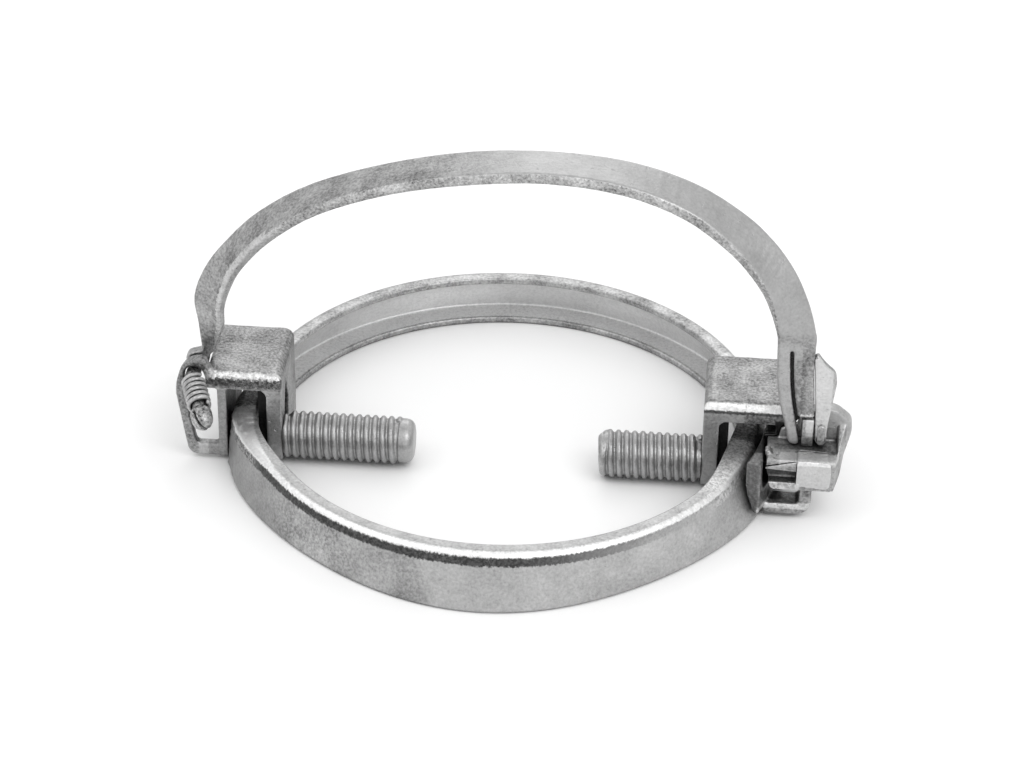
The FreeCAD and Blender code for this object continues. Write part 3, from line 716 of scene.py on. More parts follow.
@dataclass(frozen=True)
class SteelFinish:
    """One finish of blasted, plated or drawn steel.

    Attributes:
        tone: The metal's grey.
        metallic: How far the surface is bare metal.
        roughness: The satin's roughness.
        grain: Grains over a metre.
        grain_depth: The bump of the grain in metres.
        contrast: How far the grain lightens and darkens the tone.
        mottle: How far the mottle does so, over the grain.
        stretch: Lines over a metre along x, y and z for the brushing.
        brushed: How far the brushing shows.
        edge: The width of the worn edges in metres.
        wear_and_highlight: How far the edges are brighter, partly as wear and partly as painted highlight.
        wear_and_highlight_tone: The tone that they are drawn to.
        worn_roughness: The roughness that they are drawn to by half.
        pitted: How far the pits show.
        pit_tone: The tone in them.
        crevice_shade: How far the crevices are darkened as painted shade.
        crevice_shade_tone: The tone in them.
        zones: Lighter and darker parts, painted as light and shade.
        ring: Whether the zones are given round the ring's axis.
    """

    name: str
    tone: float = 0.52
    metallic: float = 0.85
    roughness: float = 0.38
    grain: float = 1700.0
    grain_depth: float = 0.00003
    contrast: float = 0.12
    mottle: float = 0.8
    stretch: Spot = (300.0, 300.0, 3000.0)
    brushed: float = 0.04
    edge: float = 0.0004
    wear_and_highlight: float = 0.25
    wear_and_highlight_tone: float = 0.95
    worn_roughness: float = 0.22
    pitted: float = 0.35
    pit_tone: float = 0.08
    crevice_shade: float = 0.6
    crevice_shade_tone: float = 0.015
    zones: tuple[Zone, ...] = ()
    ring: bool = False

    def build(self, effects: SharedEffects) -> Material:
        """Make the material.

        Args:
            effects: The shared node groups.

        Returns:
            The material.
        """
        material = bpy.data.materials.new(self.name)
        material.use_nodes = True
        tree = material.node_tree
        shader = tree.nodes["Principled BSDF"]
        shader.inputs["Metallic"].default_value = self.metallic
        place = add_node(tree, "TexCoord").outputs["Object"]
        grain = self.group(tree, effects.grain, {"Vector": place, "Scale": self.grain})
        lines = self.group(tree, effects.brushing, {"Vector": place, "Stretch": self.stretch})
        edges = self.group(tree, effects.edges, {"Radius": self.edge})
        crevices = self.group(tree, effects.crevices, {})

        tone = self.sum_up(tree, self.tone, [(grain["Fine"], self.contrast),
                                             (grain["Mottle"], self.contrast * self.mottle),
                                             (lines["Lines"], self.brushed)])
        # Brighter edges: partly wear, partly painted highlight on rounded edges.
        tone = self.blend(tree, edges["Mask"], self.wear_and_highlight, tone, self.wear_and_highlight_tone)
        tone = self.blend(tree, grain["Pits"], self.pitted, tone, self.pit_tone)
        # Painted shade: the tone darkens where ambient occlusion finds the surface closed in.
        tone = self.blend(tree, crevices["Mask"], self.crevice_shade, tone, self.crevice_shade_tone)
        spread = self.group(tree, effects.around, {"Vector": place})["Vector"] if self.ring else place
        # The zones paint highlights, lit faces and shade into the tone.
        for zone in self.zones:
            mask = self.group(tree, effects.zone, {"Vector": spread, **zone.sockets()})["Mask"]
            tone = self.blend(tree, mask, zone.share, tone, zone.tone)
        colour = add_node(tree, "CombineColor", dict.fromkeys(("Red", "Green", "Blue"), tone))
        wire_up(tree, colour.outputs["Color"], shader.inputs["Base Color"])

        rough = self.sum_up(tree, self.roughness, [(grain["Fine"], 0.18), (lines["Lines"], 0.12)])
        rough = self.blend(tree, edges["Mask"], 0.5, rough, self.worn_roughness)
        wire_up(tree, rough, shader.inputs["Roughness"])

        height = self.sum_up(tree, 0.5, [(grain["Fine"], 1.0), (grain["Mottle"], 1.6), (grain["Pits"], -1.2),
                                         (lines["Lines"], self.brushed * 12)])
        bump = add_node(tree, "Bump", {"Strength": 1.0, "Distance": self.grain_depth, "Height": height})
        wire_up(tree, bump.outputs["Normal"], shader.inputs["Normal"])
        return material

    @staticmethod
    def group(tree: NodeTree, effect: NodeTree, inputs: dict[str, Fed]) -> Sequence:
        """Place a shared effect in a material.

        Args:
            tree: The material's tree.
            effect: The effect's tree.
            inputs: What each of its sockets gets.

        Returns:
            The sockets of its results, which are taken by name.
        """
        return add_node(tree, "Group", inputs, node_tree=effect).outputs

    @staticmethod
    def sum_up(tree: NodeTree, base: float, terms: Sequence[tuple]) -> NodeSocket:
        """Add signed variations, each centred on nought, to a base value.

        Args:
            tree: The material's tree.
            base: The value without variation.
            terms: Pairs of a noise socket and its weight.

        Returns:
            The socket that carries the sum.
        """
        carried = None
        for source, weight in terms:
            low = base - 0.5 * weight if carried is None else reckon(tree, "SUBTRACT", carried, 0.5 * weight)
            carried = add_node(tree, "Math", {0: source, 1: weight, 2: low}, operation="MULTIPLY_ADD").outputs[0]
        return carried

    @staticmethod
    def blend(tree: NodeTree, mask: NodeSocket, share: float, value: NodeSocket, goal: float) -> NodeSocket:
        """Draw a value towards a goal where a mask says so.

        Args:
            tree: The material's tree.
            mask: The mask socket.
            share: How far the mask counts.
            value: The value socket.
            goal: The value under a full mask.

        Returns:
            The socket of the blended value.
        """
        factor = reckon(tree, "MULTIPLY", mask, share)
        return add_node(tree, "Mix", {"Factor": factor, "A": value, "B": goal}, data_type="FLOAT").outputs["Result"]


class Finishes:
    """All the finishes of the clamp, each built once."""

    def __init__(self) -> None:
        """Build the shared effects and the ten finishes."""
        effects = SharedEffects()
        # Painted light: the band's inner wall is lightened, standing in for light bounced inside the channel.
        inner_wall_painted_light = Zone((51.0, 15.0, 1.6), (58.0, 158.0, 9.8), 0.78, 0.95, (0.6, 6.0, 0.6), 1.0, 0.2)
        # Painted light and shade round the band: a darker left side, a lighter front, a dark painted reflection under
        # the top bend, painted highlights on the top bend and lip, and near-black painted shade where the band runs
        # into the saddles.
        band_zones = (
            Zone((52.2, -176.0, -1.0), (62.0, -143.0, 10.0), 0.25, 0.7, (1.0, 16.0, 1.0), 1.0, 0.2),
            Zone((52.2, -110.0, -1.0), (62.0, -98.0, 10.0), 0.27, 0.35, (1.0, 12.0, 1.0), 1.0, 0.2),
            Zone((52.2, -90.0, -1.0), (62.0, -20.0, 10.0), 0.48, 0.6, (1.0, 10.0, 1.0), 1.0, 0.2),
            Zone((52.2, -168.0, 9.2), (62.0, -82.0, 10.5), 0.03, 0.97, (0.5, 50.0, 0.3), 1.8, 0.15),
            Zone((52.6, -160.0, 10.9), (62.0, -20.0, 12.0), 0.98, 0.85, (0.4, 8.0, 0.3), 1.0, 0.3),
            Zone((40.0, -160.0, 10.3), (52.4, -20.0, 12.0), 0.38, 0.5, (0.4, 8.0, 0.3), 1.0, 0.4),
            Zone((40.0, -27.0, 9.5), (62.0, -10.5, 13.0), 0.90, 0.6, (1.0, 8.0, 1.0), 3.0, 1.0),
            Zone((40.0, -167.0, 9.5), (62.0, -150.0, 13.0), 0.70, 0.5, (1.0, 6.0, 1.0), 3.0, 1.0),
            Zone((40.0, -8.6, 6.5), (62.0, 11.0, 13.0), 0.02, 0.95, (1.0, 0.8, 2.0), 4.0, 0.5),
            Zone((40.0, -175.0, 6.5), (62.0, -166.4, 13.0), 0.02, 0.95, (1.0, 0.8, 2.0), 4.0, 0.5))
        band = SteelFinish("zinc_band", tone=0.37, contrast=0.8, brushed=0.08, crevice_shade=0.8,
                           grain_depth=0.00006, stretch=(260.0, 260.0, 2600.0), zones=band_zones, ring=True)
        self.band = band.build(effects)
        self.inside = replace(band, name="zinc_band_inside_lit", zones=(inner_wall_painted_light, *band_zones)).build(effects)
        near = (0.4, 0.4, 0.4)
        # Painted light and shade on the saddles: lit front faces, painted highlights on the brows and the hook's lip,
        # dark painted shade under the brows, near-black painted shade inside the mouths with their thickened inner
        # walls, in the slot, between the band's end and the arm and on the hook's floor, and painted shade on the
        # eye's front and the arm's front plate.
        saddle_zones = (
            Zone((-63.0, -12.0, 0.0), (-44.0, -9.8, 17.6), 0.56, 0.7, near, 1.0, 0.3),
            Zone((42.0, -12.0, 0.0), (50.0, -9.8, 18.6), 0.46, 0.65, near, 1.0, 0.3),
            Zone((56.8, -12.0, 11.0), (60.8, -8.0, 17.6), 0.02, 0.95, near, 0.8, 0.0),
            Zone((-62.5, -12.0, 20.2), (-44.0, -8.6, 22.0), 0.90, 0.85, near, 2.4, 0.6),
            Zone((-62.5, -12.0, 18.6), (-44.0, -8.8, 19.9), 0.03, 0.92, near, 2.8, 0.5),
            Zone((42.0, -12.0, 19.7), (60.0, -9.0, 20.7), 0.95, 0.9, near, 1.2, 0.3),
            Zone((42.0, -12.0, 19.0), (62.0, -9.2, 19.4), 0.04, 0.9, (0.4, 0.4, 0.2), 1.2, 0.3),
            Zone((-58.7, -9.2, 1.0), (-48.0, 4.5, 17.8), 0.01, 0.98, near, 0.6, 0.0),
            Zone((45.0, -9.2, 1.0), (58.7, 4.5, 17.0), 0.01, 0.98, near, 0.6, 0.0),
            Zone((-60.9, -12.0, 0.0), (-57.0, -6.0, 17.4), 0.14, 0.7),
            Zone((46.0, -26.0, 0.0), (55.0, -15.0, 16.0), 0.13, 0.8),
            Zone((52.0, -17.0, 3.0), (58.6, -9.8, 16.0), 0.02, 0.9, near, 1.0, 0.0),
            Zone((57.0, -18.4, 3.0), (62.2, -12.0, 4.0), 0.05, 0.8),
            Zone((54.0, -22.0, 2.6), (65.0, -18.6, 3.8), 0.85, 0.7))
        self.saddle = SteelFinish("blasted_saddle", tone=0.245, wear_and_highlight=0.5, contrast=0.75, crevice_shade=0.9,
                                  grain_depth=0.0001, zones=saddle_zones).build(effects)
        self.stud = SteelFinish("rolled_stud", tone=0.38, roughness=0.34, grain=2600.0, contrast=0.3, crevice_shade=0.9,
                                grain_depth=0.00006).build(effects)
        # Painted light and shade on the bail: a lighter top of the arch and a lit strip on the fork's leg, dark
        # painted shade in the slit, and a painted highlight along the tongue's lower edge.
        bail_zones = (
            Zone((5.0, -20.0, 42.0), (75.0, 10.0, 90.0), 0.42, 0.7, (25.0, 1.0, 3.0), 1.0, 0.0),
            Zone((54.0, -16.0, 13.0), (60.9, -11.0, 38.0), 0.46, 0.75, (0.5, 1.0, 3.0), 1.0, 0.4),
            Zone((60.2, -16.0, 20.0), (61.9, -13.0, 35.0), 0.06, 0.6, (0.5, 0.4, 1.0), 3.0, 0.9),
            Zone((61.8, -16.0, 20.0), (64.8, -13.4, 22.3), 0.95, 0.7, (0.5, 0.3, 0.3), 2.4, 0.6))
        self.bail = SteelFinish("satin_bail", tone=0.30, contrast=0.7, crevice_shade=0.8,
                                grain_depth=0.00007, stretch=(400.0, 2200.0, 400.0), zones=bail_zones).build(effects)
        # Painted shade: a near-black finish for the web behind the fork's slit, which stands for the shade in the
        # slit.
        self.gap = SteelFinish("slit_painted_shade", tone=0.012, contrast=0.0, metallic=0.2, brushed=0.0,
                               roughness=0.8).build(effects)
        # Painted light: the strap's cut edge is lighter at the neck.
        strip_zones = (Zone((-70.0, -14.0, 22.0), (-47.0, 8.0, 58.0), 0.56, 0.7, (1.0, 2.0, 2.0), 1.0, 0.6),)
        strip = SteelFinish("rough_strap_edge", tone=0.44, roughness=0.3, grain=1800.0, contrast=1.1,
                            grain_depth=0.00012, crevice_shade=0.8, zones=strip_zones)
        self.strip = strip.build(effects)
        self.rod = replace(strip, name="rough_rod", tone=0.27, zones=()).build(effects)
        self.wire = SteelFinish("drawn_wire", tone=0.42, grain=1800.0, contrast=0.7, crevice_shade=0.95,
                                grain_depth=0.00012).build(effects)
        # Painted light and shade on the latch: near-black painted shade in the recess, the groove and the line behind
        # it, lit faces on the boss, its top and the cheek, and painted highlights on the boss's top edge, the lower
        # lip and the lever's curved face.
        latch_zones = (
            Zone((54.0, -19.4, 10.2), (61.4, -15.0, 12.9), 0.05, 0.85, (0.4, 0.4, 1.2), 1.2, 0.2),
            Zone((61.5, -22.0, 8.5), (68.2, -20.0, 14.6), 0.66, 0.7, near, 1.0, 0.2),
            Zone((61.0, -22.0, 14.5), (69.0, -19.8, 16.0), 0.95, 0.7, near, 1.0, 0.4),
            Zone((54.0, -21.0, 7.0), (62.0, -19.4, 9.6), 0.85, 0.6, near, 2.0, 0.8),
            Zone((58.0, -19.6, 13.8), (70.0, -16.6, 16.0), 0.62, 0.7, near, 1.0, 0.2),
            Zone((61.3, -16.4, 14.0), (69.0, -15.7, 16.0), 0.04, 0.6, near, 1.6, 0.5),
            Zone((57.0, -15.2, 14.2), (68.0, -13.6, 15.2), 0.06, 0.7, near, 1.6, 0.5),
            Zone((60.0, -12.0, 15.5), (73.0, -8.0, 23.0), 0.44, 0.8, near, 1.0, 0.3),
            Zone((63.0, -14.6, 17.5), (67.4, -13.4, 37.0), 0.72, 0.75, (0.5, 0.4, 0.6), 1.0, 0.2))
        self.latch = SteelFinish("worn_latch", tone=0.33, wear_and_highlight=0.6, contrast=0.7, crevice_shade=0.9,
                                 grain_depth=0.0001, zones=latch_zones).build(effects)


# Pieces


@dataclass
class BandRing:
    """The closed channel ring.

    Attributes:
        top_bend, foot_bend: The outer bends under the top lip and over the foot.
        drawn_in, drawn_at, drawn_half: How far the foot is drawn in, and the place's middle and half in degrees.
        end_shift, end_at, end_half: The same for the top's shift to the left under the saddles.
        hammered, hammered_at, hammered_half: The same for the hammered places.
        wall_clear, wall_trim: How far the inner wall's material keeps from the lips, and from foot and top.
        wall_lean: How far a face may look outwards and still count as inner.
    """

    sheet: float = 1.5
    lip_radius: float = 50.0
    top_radius: float = 53.4
    foot_radius: float = 58.0
    top_bend: float = 1.3
    foot_bend: float = 1.0
    inner_bend: float = 0.7
    lip_edge: float = 0.5
    steps: int = 480
    drawn_in: float = 2.2
    drawn_at: float = 50.0
    drawn_half: float = 42.0
    end_shift: float = 3.4
    end_at: float = 12.0
    end_half: float = 24.0
    hammered: float = 1.1
    hammered_at: float = 12.5
    hammered_half: float = 9.0
    wall_clear: float = 0.6
    wall_trim: float = 1.0
    wall_lean: float = 0.3

    def build(self, finish: Material, inside: Material, ripples: Texture) -> Object:
        """Draw the channel's section, round its bends and spin it about the ring's axis.

        Args:
            finish: The band's material.
            inside: The material of the wall's inner face: the band's finish lightened as painted light.
            ripples: The texture of the hammered places.

        Returns:
            The ring.
        """
        height = node_box("ring_band")[1].z
        slope = (self.foot_radius - self.top_radius) / height
        run = self.sheet * math.hypot(1.0, slope)
        inner_top = self.top_radius + slope * self.sheet - run
        inner_foot = self.foot_radius - slope * self.sheet - run
        between = [(self.top_radius + slope * down, height - down) for down in range(2, int(height) - 1)]
        points = [(self.lip_radius, height), (self.top_radius, height), *between, (self.foot_radius, 0.0),
                  (self.lip_radius, 0.0), (self.lip_radius, self.sheet), (inner_foot, self.sheet),
                  (inner_top, height - self.sheet), (self.lip_radius, height - self.sheet)]
        radii = [self.lip_edge, self.top_bend, *[0.0] * len(between), self.foot_bend, self.lip_edge, self.lip_edge,
                 self.inner_bend, self.inner_bend, self.lip_edge]
        obj = Bench.turned("channel_ring", points, Z_AXIS, self.steps, radii)
        self.draw_in(obj, height)
        self.shift_ends(obj, height)
        group = Bench.weigh(obj, "hammered", self.near_saddle)
        Bench.modify(obj, "DISPLACE", texture=ripples, texture_coords="LOCAL", strength=self.hammered, mid_level=0.55,
                     vertex_group=group)
        inner = self.inner_faces(obj, height)
        Bench.done(obj, Body.CLAMP, Slot.BAND, ["ring_band"], finish, 40.0)
        # The inner wall's faces take the lightened copy of the band's finish, as painted light.
        Bench.dress(obj, inside, inner)
        return obj

    def inner_faces(self, obj: Object, height: float) -> list[int]:
        """Pick the faces of the wall's inner side.

        Args:
            obj: The ring in millimetres.
            height: The ring's height.

        Returns:
            The faces' numbers.
        """
        return [polygon.index for polygon in obj.data.polygons
                if polygon.normal.xy.dot(polygon.center.xy.normalized()) < self.wall_lean
                and polygon.center.xy.length > self.lip_radius + self.wall_clear
                and self.wall_trim < polygon.center.z < height - self.wall_trim]

    @staticmethod
    def front_angle(at: Vector) -> float:
        """Give a place's angle towards the front in degrees, alike on both sides of the ring."""
        return math.degrees(math.atan2(-at.y, abs(at.x)))

    @staticmethod
    def swell(off: float) -> float:
        """Give a share that falls smoothly from one at nought to nought at one."""
        return (math.cos(math.pi * off) + 1.0) / 2.0

    def near_saddle(self, at: Vector) -> float:
        """Tell how close a place on the band's outer side is to the front of a saddle.

        Args:
            at: The place.

        Returns:
            Its share, from 0 to 1.
        """
        if at.length <= self.top_radius:
            return 0.0
        return max(0.0, 1.0 - abs(self.front_angle(at) - self.hammered_at) / self.hammered_half)

    def drawn_share(self, at: Vector, height: float) -> float:
        """Tell how far a place takes part where the foot is drawn in.

        Args:
            at: The place.
            height: The ring's height.

        Returns:
            Its share, from 0 to 1.
        """
        off = abs(self.front_angle(at) - self.drawn_at) / self.drawn_half
        if off >= 1.0 or at.y > 0:
            return 0.0
        return self.swell(off) * max(0.0, 1.0 - at.z / height)

    def draw_in(self, obj: Object, height: float) -> None:
        """Draw the foot in at both front diagonals, as the band in the photograph is out of round.

        Args:
            obj: The ring.
            height: The ring's height.
        """
        slant = math.radians(self.drawn_at)
        for name, side in (("left", -1), ("right", 1)):
            group = Bench.weigh(obj, name, lambda at: self.drawn_share(at, height) if at.x * side > 0 else 0.0)
            Bench.push(obj, "X", -side * self.drawn_in * math.cos(slant), group)
            Bench.push(obj, "Y", self.drawn_in * math.sin(slant), group)

    def end_share(self, at: Vector, height: float, inner: float, outer: float) -> float:
        """Tell how far a place takes part in the shift under a saddle.

        Args:
            at: The place.
            height: The ring's height.
            inner: The share of the lip's edge.
            outer: The share of the wall.

        Returns:
            The place's share.
        """
        off = min(abs(self.front_angle(at) - self.end_at) / self.end_half, 1.0)
        across = (math.hypot(at.x, at.y) - self.lip_radius) / (self.top_radius - self.lip_radius)
        across = min(max(across, 0.0), 1.0)
        rise = min(max(at.z / height, 0.0), 1.0)
        return self.swell(off) * rise * (inner + (outer - inner) * across)

    def shift_ends(self, obj: Object, height: float) -> None:
        """Shift the band's top to the left under both saddles' fronts, as in the photograph.

        Args:
            obj: The ring.
            height: The ring's height.
        """
        for name, side, inner, outer in (("left_end", -1, 0.5, 1.0), ("right_end", 1, 0.55, 0.12)):
            group = Bench.weigh(obj, name,
                                lambda at: self.end_share(at, height, inner, outer) if at.x * side > 0 else 0.0)
            Bench.push(obj, "X", -self.end_shift, group)


@dataclass
class Saddle:
    """What both folded saddles share.

    Attributes:
        side: -1 for the left saddle and 1 for the right one.
        inner_wall: The thickness of the inner wall, behind the stud.
        front, depth: How far the front stands before the ring's axis, and how far the blank reaches back.
        wall_face, wall_trim: The outer wall's inner face, and how deep its outer face is cut to a curve.
        overhang: How far the blank stands out over the outer wall.
        thick_wall: How far the inner wall is thickened behind its front edge.
        slot_back, slot_shoulder: How far the slot lies behind the front, and where it starts to narrow.
        seat: The radius that the seats for the band are cut from.
    """

    side: int
    outer_wall: float = 2.6
    inner_wall: float = 3.3
    plate: float = 3.6
    top: float = 21.2
    front: float = 10.1
    depth: float = 18.5
    wall_face: float = 57.79
    wall_trim: float = 0.7
    foot: float = 0.9
    outer_bend: float = 1.2
    inner_bend: float = 2.0
    mouth_bend: float = 1.5
    brow: float = 2.4
    overhang: float = 0.0
    thick_wall: float = 1.9
    slot_half: float = 2.5
    slot_back: float = 6.7
    slot_peak: float = 17.2
    slot_shoulder: float = 11.5
    seat: float = 50.5
    edge: float = 0.45
    voxel: float = 0.24

    @property
    def wall_out(self) -> float:
        """The outer face of the outer wall."""
        return self.wall_face + self.outer_wall

    def fold(self, bar_face: float) -> Object:
        """Make the folded blank with its brow and its pointed slot.

        Args:
            bar_face: The outer face of the inner wall.

        Returns:
            The blank.
        """
        bar_out = bar_face - self.inner_wall
        mouth = self.top - self.plate
        inside = self.wall_face - 1.2
        edge = self.wall_out + self.overhang
        points = [(edge, self.foot), (edge, self.top), (bar_out, self.top), (bar_out, self.foot),
                  (bar_face, self.foot), (bar_face, mouth), (inside, mouth), (inside, self.foot)]
        radii = [0.0, self.outer_bend, self.inner_bend, 0.0, 0.0, self.mouth_bend, self.mouth_bend, 0.0]
        name = "left_fold" if self.side < 0 else "right_fold"
        blank = Bench.plate(name, Plane.XZ, -self.front, [(self.side * x, z) for x, z in points], self.depth, radii)
        Bench.cut(blank, self.brow_cutter(name, bar_out))
        Bench.cut(blank, self.tube(name + "_seat", self.seat, self.wall_face, mouth))
        Bench.cut(blank, self.tube(name + "_back", self.wall_out - self.wall_trim, 70.0, mouth))
        centre = self.slot_back - self.front
        low = self.foot + 1.5
        outline = [(centre - self.slot_half, low), (centre + self.slot_half, low),
                   (centre + self.slot_half, self.slot_shoulder), (centre, self.slot_peak),
                   (centre - self.slot_half, self.slot_shoulder)]
        start = self.side * (bar_out - 1.0)
        cutter = Bench.plate(name + "_slot", Plane.YZ, start, outline, self.side * (self.inner_wall + 2.0),
                             [0.0, 0.0, 1.5, 0.4, 1.5])
        Bench.cut(blank, cutter)
        return blank

    def brow_cutter(self, name: str, bar_out: float) -> Object:
        """Make the cutter that rounds the plate's front edge: a block with a hollow quarter round.

        Args:
            name: The blank's name.
            bar_out: The inner face of the inner wall.

        Returns:
            The cutter.
        """
        front, top, brow = self.front, self.top, self.brow
        steps = 6
        points = [(-front - 1.0, top + 1.0), (-front - 1.0, top - brow)]
        for step in range(steps + 1):
            turn = math.pi / 2 * step / steps
            points.append((-front + brow - brow * math.cos(turn), top - brow + brow * math.sin(turn)))
        points.append((-front + brow, top + 1.0))
        start = self.side * (bar_out - 1.0)
        return Bench.plate(name + "_brow", Plane.YZ, start, points, self.side * (self.wall_out - bar_out + 2.0))

    def thicken(self, bar_face: float) -> Object:
        """Make the inner wall thicker behind its front edge, as the dark mouth in the photograph shows it; it lies in
        the mouth's near-black painted shade.

        Args:
            bar_face: The outer face of the inner wall.

        Returns:
            The thickening.
        """
        name = "left_core" if self.side < 0 else "right_core"
        low, high = self.side * (bar_face - 0.6), self.side * (bar_face + self.thick_wall)
        points = [(low, -self.front + 1.2), (high, -self.front + 1.2), (high, -4.0), (low, -4.0)]
        return Bench.plate(name, Plane.XY, 2.2, points, self.top - self.plate - 2.0)

    @staticmethod
    def tube(name: str, inner: float, outer: float, top: float) -> Object:
        """Turn the ring-shaped cutter that gives the outer wall its curve."""
        return Bench.turned(name, [(inner, -1.0), (outer, -1.0), (outer, top), (inner, top)], Z_AXIS, 180)


@dataclass
class LeftSaddle(Saddle):
    """The left saddle, whose outer wall runs on into a closed hinge eye.

    Attributes:
        ear_strip, ear_sill: The thickness of the eye's outer side and of its sill.
        ear_lean: How far the eye's outer side leans out towards its top.
        hole: Half the width of the opening round the rod.
    """

    side: int = -1
    bar_face: float = 48.7
    depth: float = 19.6
    overhang: float = 0.85
    ear_width: float = 2.2
    ear_strip: float = 2.0
    ear_sill: float = 2.9
    ear_lean: float = 2.45
    ear_crown: float = 24.9
    hinge_out: float = 63.7
    hinge_height: float = 20.8
    hole: float = 1.8

    def build(self, finish: Material, ripples: Texture) -> Object:
        """Fold the saddle, bend the eye's strip and forge them into one.

        Args:
            finish: The saddle's material.
            ripples: The texture of the forging's unevenness.

        Returns:
            The saddle.
        """
        blank = self.fold(self.bar_face)
        inner = self.thicken(self.bar_face)
        reach = -node_box("left_saddle")[0].x
        top, foot, hole, out, height = self.top, self.foot, self.hole, self.hinge_out, self.hinge_height
        mouth = top - self.plate
        anchor = self.wall_face + 0.6
        low = reach - self.ear_lean
        wall = self.wall_out
        points = [(anchor, foot), (low, foot), (reach, mouth - 0.3), (reach - 1.5, top + 1.1),
                  (out + 0.6, self.ear_crown - 0.5), (wall + 0.9, self.ear_crown), (wall - 1.3, top - 1.0),
                  (wall - 1.3, mouth - 0.1), (wall - 0.4, mouth), (wall + 0.8, height - 1.2),
                  (out - hole - 0.2, height + 0.8), (out - 1.2, height + hole), (out + 1.0, height + hole),
                  (out + hole, height + 0.2), (reach - self.ear_strip, mouth - 0.8),
                  (low - self.ear_strip + 0.3, foot + self.ear_sill), (anchor, foot + self.ear_sill)]
        radii = [0.0, 1.8, 2.2, 1.4, 1.2, 0.8, 0.0, 0.0, 0.3, 0.8, 0.6, 0.8, 0.8, 0.6, 1.2, 0.8, 0.0]
        ear = Bench.plate("eye_strip", Plane.XZ, -self.front, [(-x, z) for x, z in points], self.ear_width, radii,
                          self.edge)
        obj = Bench.fuse("left_saddle_forging", [blank, ear, inner], self.voxel, 4)
        Bench.ripple(obj, ripples, 0.10)
        return Bench.done(obj, Body.CLAMP, Slot.SADDLE, ["left_saddle"], finish)


@dataclass
class RightSaddle(Saddle):
    """The right saddle, with the arm that hugs the band and the hook under the latch.

    Attributes:
        slope: How much the band narrows for each millimetre of height.
        arm_gap: The clearance between the arm and the band.
        arm_root, arm_sweep: The angles where the arm starts and ends, in degrees.
        hook_front: How far the hook's front stands before the ring's axis.
        relief_left, relief_back: The inner side and the back of the room for the latch block.
    """

    side: int = 1
    bar_face: float = 45.2
    plate: float = 4.4
    slot_peak: float = 16.4
    thick_wall: float = 1.95
    foot_radius: float = 58.0
    slope: float = 4.6 / 11.6
    arm_in: float = 55.2
    arm_sheet: float = 3.2
    arm_low: float = 2.4
    arm_gap: float = 0.27
    arm_root: float = 6.0
    arm_sweep: float = 22.0
    fin_top: float = 14.6
    ledge: float = 7.6
    hook_front: float = 19.0
    hook_width: float = 5.0
    hook_left: float = 54.8
    hook_reach: float = 64.8
    hook_bend: float = 3.2
    relief_left: float = 54.5
    relief_back: float = 10.2

    def build(self, finish: Material, ripples: Texture) -> Object:
        """Fold the saddle, spin the arm's strip, bend the hook and forge them into one.

        Args:
            finish: The saddle's material.
            ripples: The texture of the forging's unevenness.

        Returns:
            The saddle.
        """
        parts = [self.fold(self.bar_face), self.arm(), self.hook(), self.thicken(self.bar_face)]
        obj = Bench.fuse("right_saddle_forging", parts, self.voxel, 4)
        Bench.ripple(obj, ripples, 0.10)
        return Bench.done(obj, Body.CLAMP, Slot.SADDLE, ["right_saddle"], finish)

    def arm(self) -> Object:
        """Spin the arm's section along the band and cut it back round the latch block.

        Returns:
            The arm.
        """
        low = self.foot_radius - self.arm_low * self.slope + self.arm_gap
        bend = (self.foot_radius + self.arm_gap - self.arm_in) / self.slope
        outer = self.arm_in + self.arm_sheet
        points = [(low, self.arm_low), (self.arm_in, bend), (self.arm_in, self.fin_top), (outer, self.fin_top),
                  (outer, self.arm_low)]
        spots = [Plane.XZ.spot(point, 0.0) for point in points]
        obj = Bench.line("arm_strip", spots)
        Bench.round_corners(obj, spots, [0.3, 2.0, 0.5, 0.9, 0.9])
        Bench.all_in()
        bpy.ops.transform.rotate(value=math.radians(self.arm_root), orient_axis="Z", center_override=ORIGIN)
        sweep = math.radians(self.arm_sweep - self.arm_root)
        bpy.ops.mesh.spin(steps=24, angle=sweep, center=ORIGIN, axis=Z_AXIS)
        Bench.face_out(obj)
        if min(corner[1] for corner in obj.bound_box) > -self.front - 5.0:
            raise RuntimeError("the arm was spun the wrong way")
        left, right, front, back = self.relief_left, self.wall_out + 2.0, -self.hook_front - 3.0, -self.relief_back
        relief = [(left, front), (right, front), (right, back), (left, back)]
        Bench.cut(obj, Bench.plate("arm_relief", Plane.XY, self.ledge, relief, 12.0))
        Bench.blunt(obj, 0.9, 60)
        return obj

    def hook(self) -> Object:
        """Bend the hook: along under the block and up at its end.

        Returns:
            The hook.
        """
        left = self.hook_left
        wall = self.outer_wall
        points = [(left, self.foot), (self.hook_reach, self.foot), (self.hook_reach, self.ledge),
                  (self.hook_reach - wall, self.ledge), (self.hook_reach - wall, self.foot + wall),
                  (left, self.foot + wall)]
        radii = [0.5, self.hook_bend, 0.0, 0.0, 0.8, 0.5]
        obj = Bench.plate("hook_strip", Plane.XZ, -self.hook_front, points, self.hook_width, radii, self.edge)
        Bench.cut(obj, self.tube("hook_seat", self.seat, self.wall_face + 0.1, 6.0))
        return obj


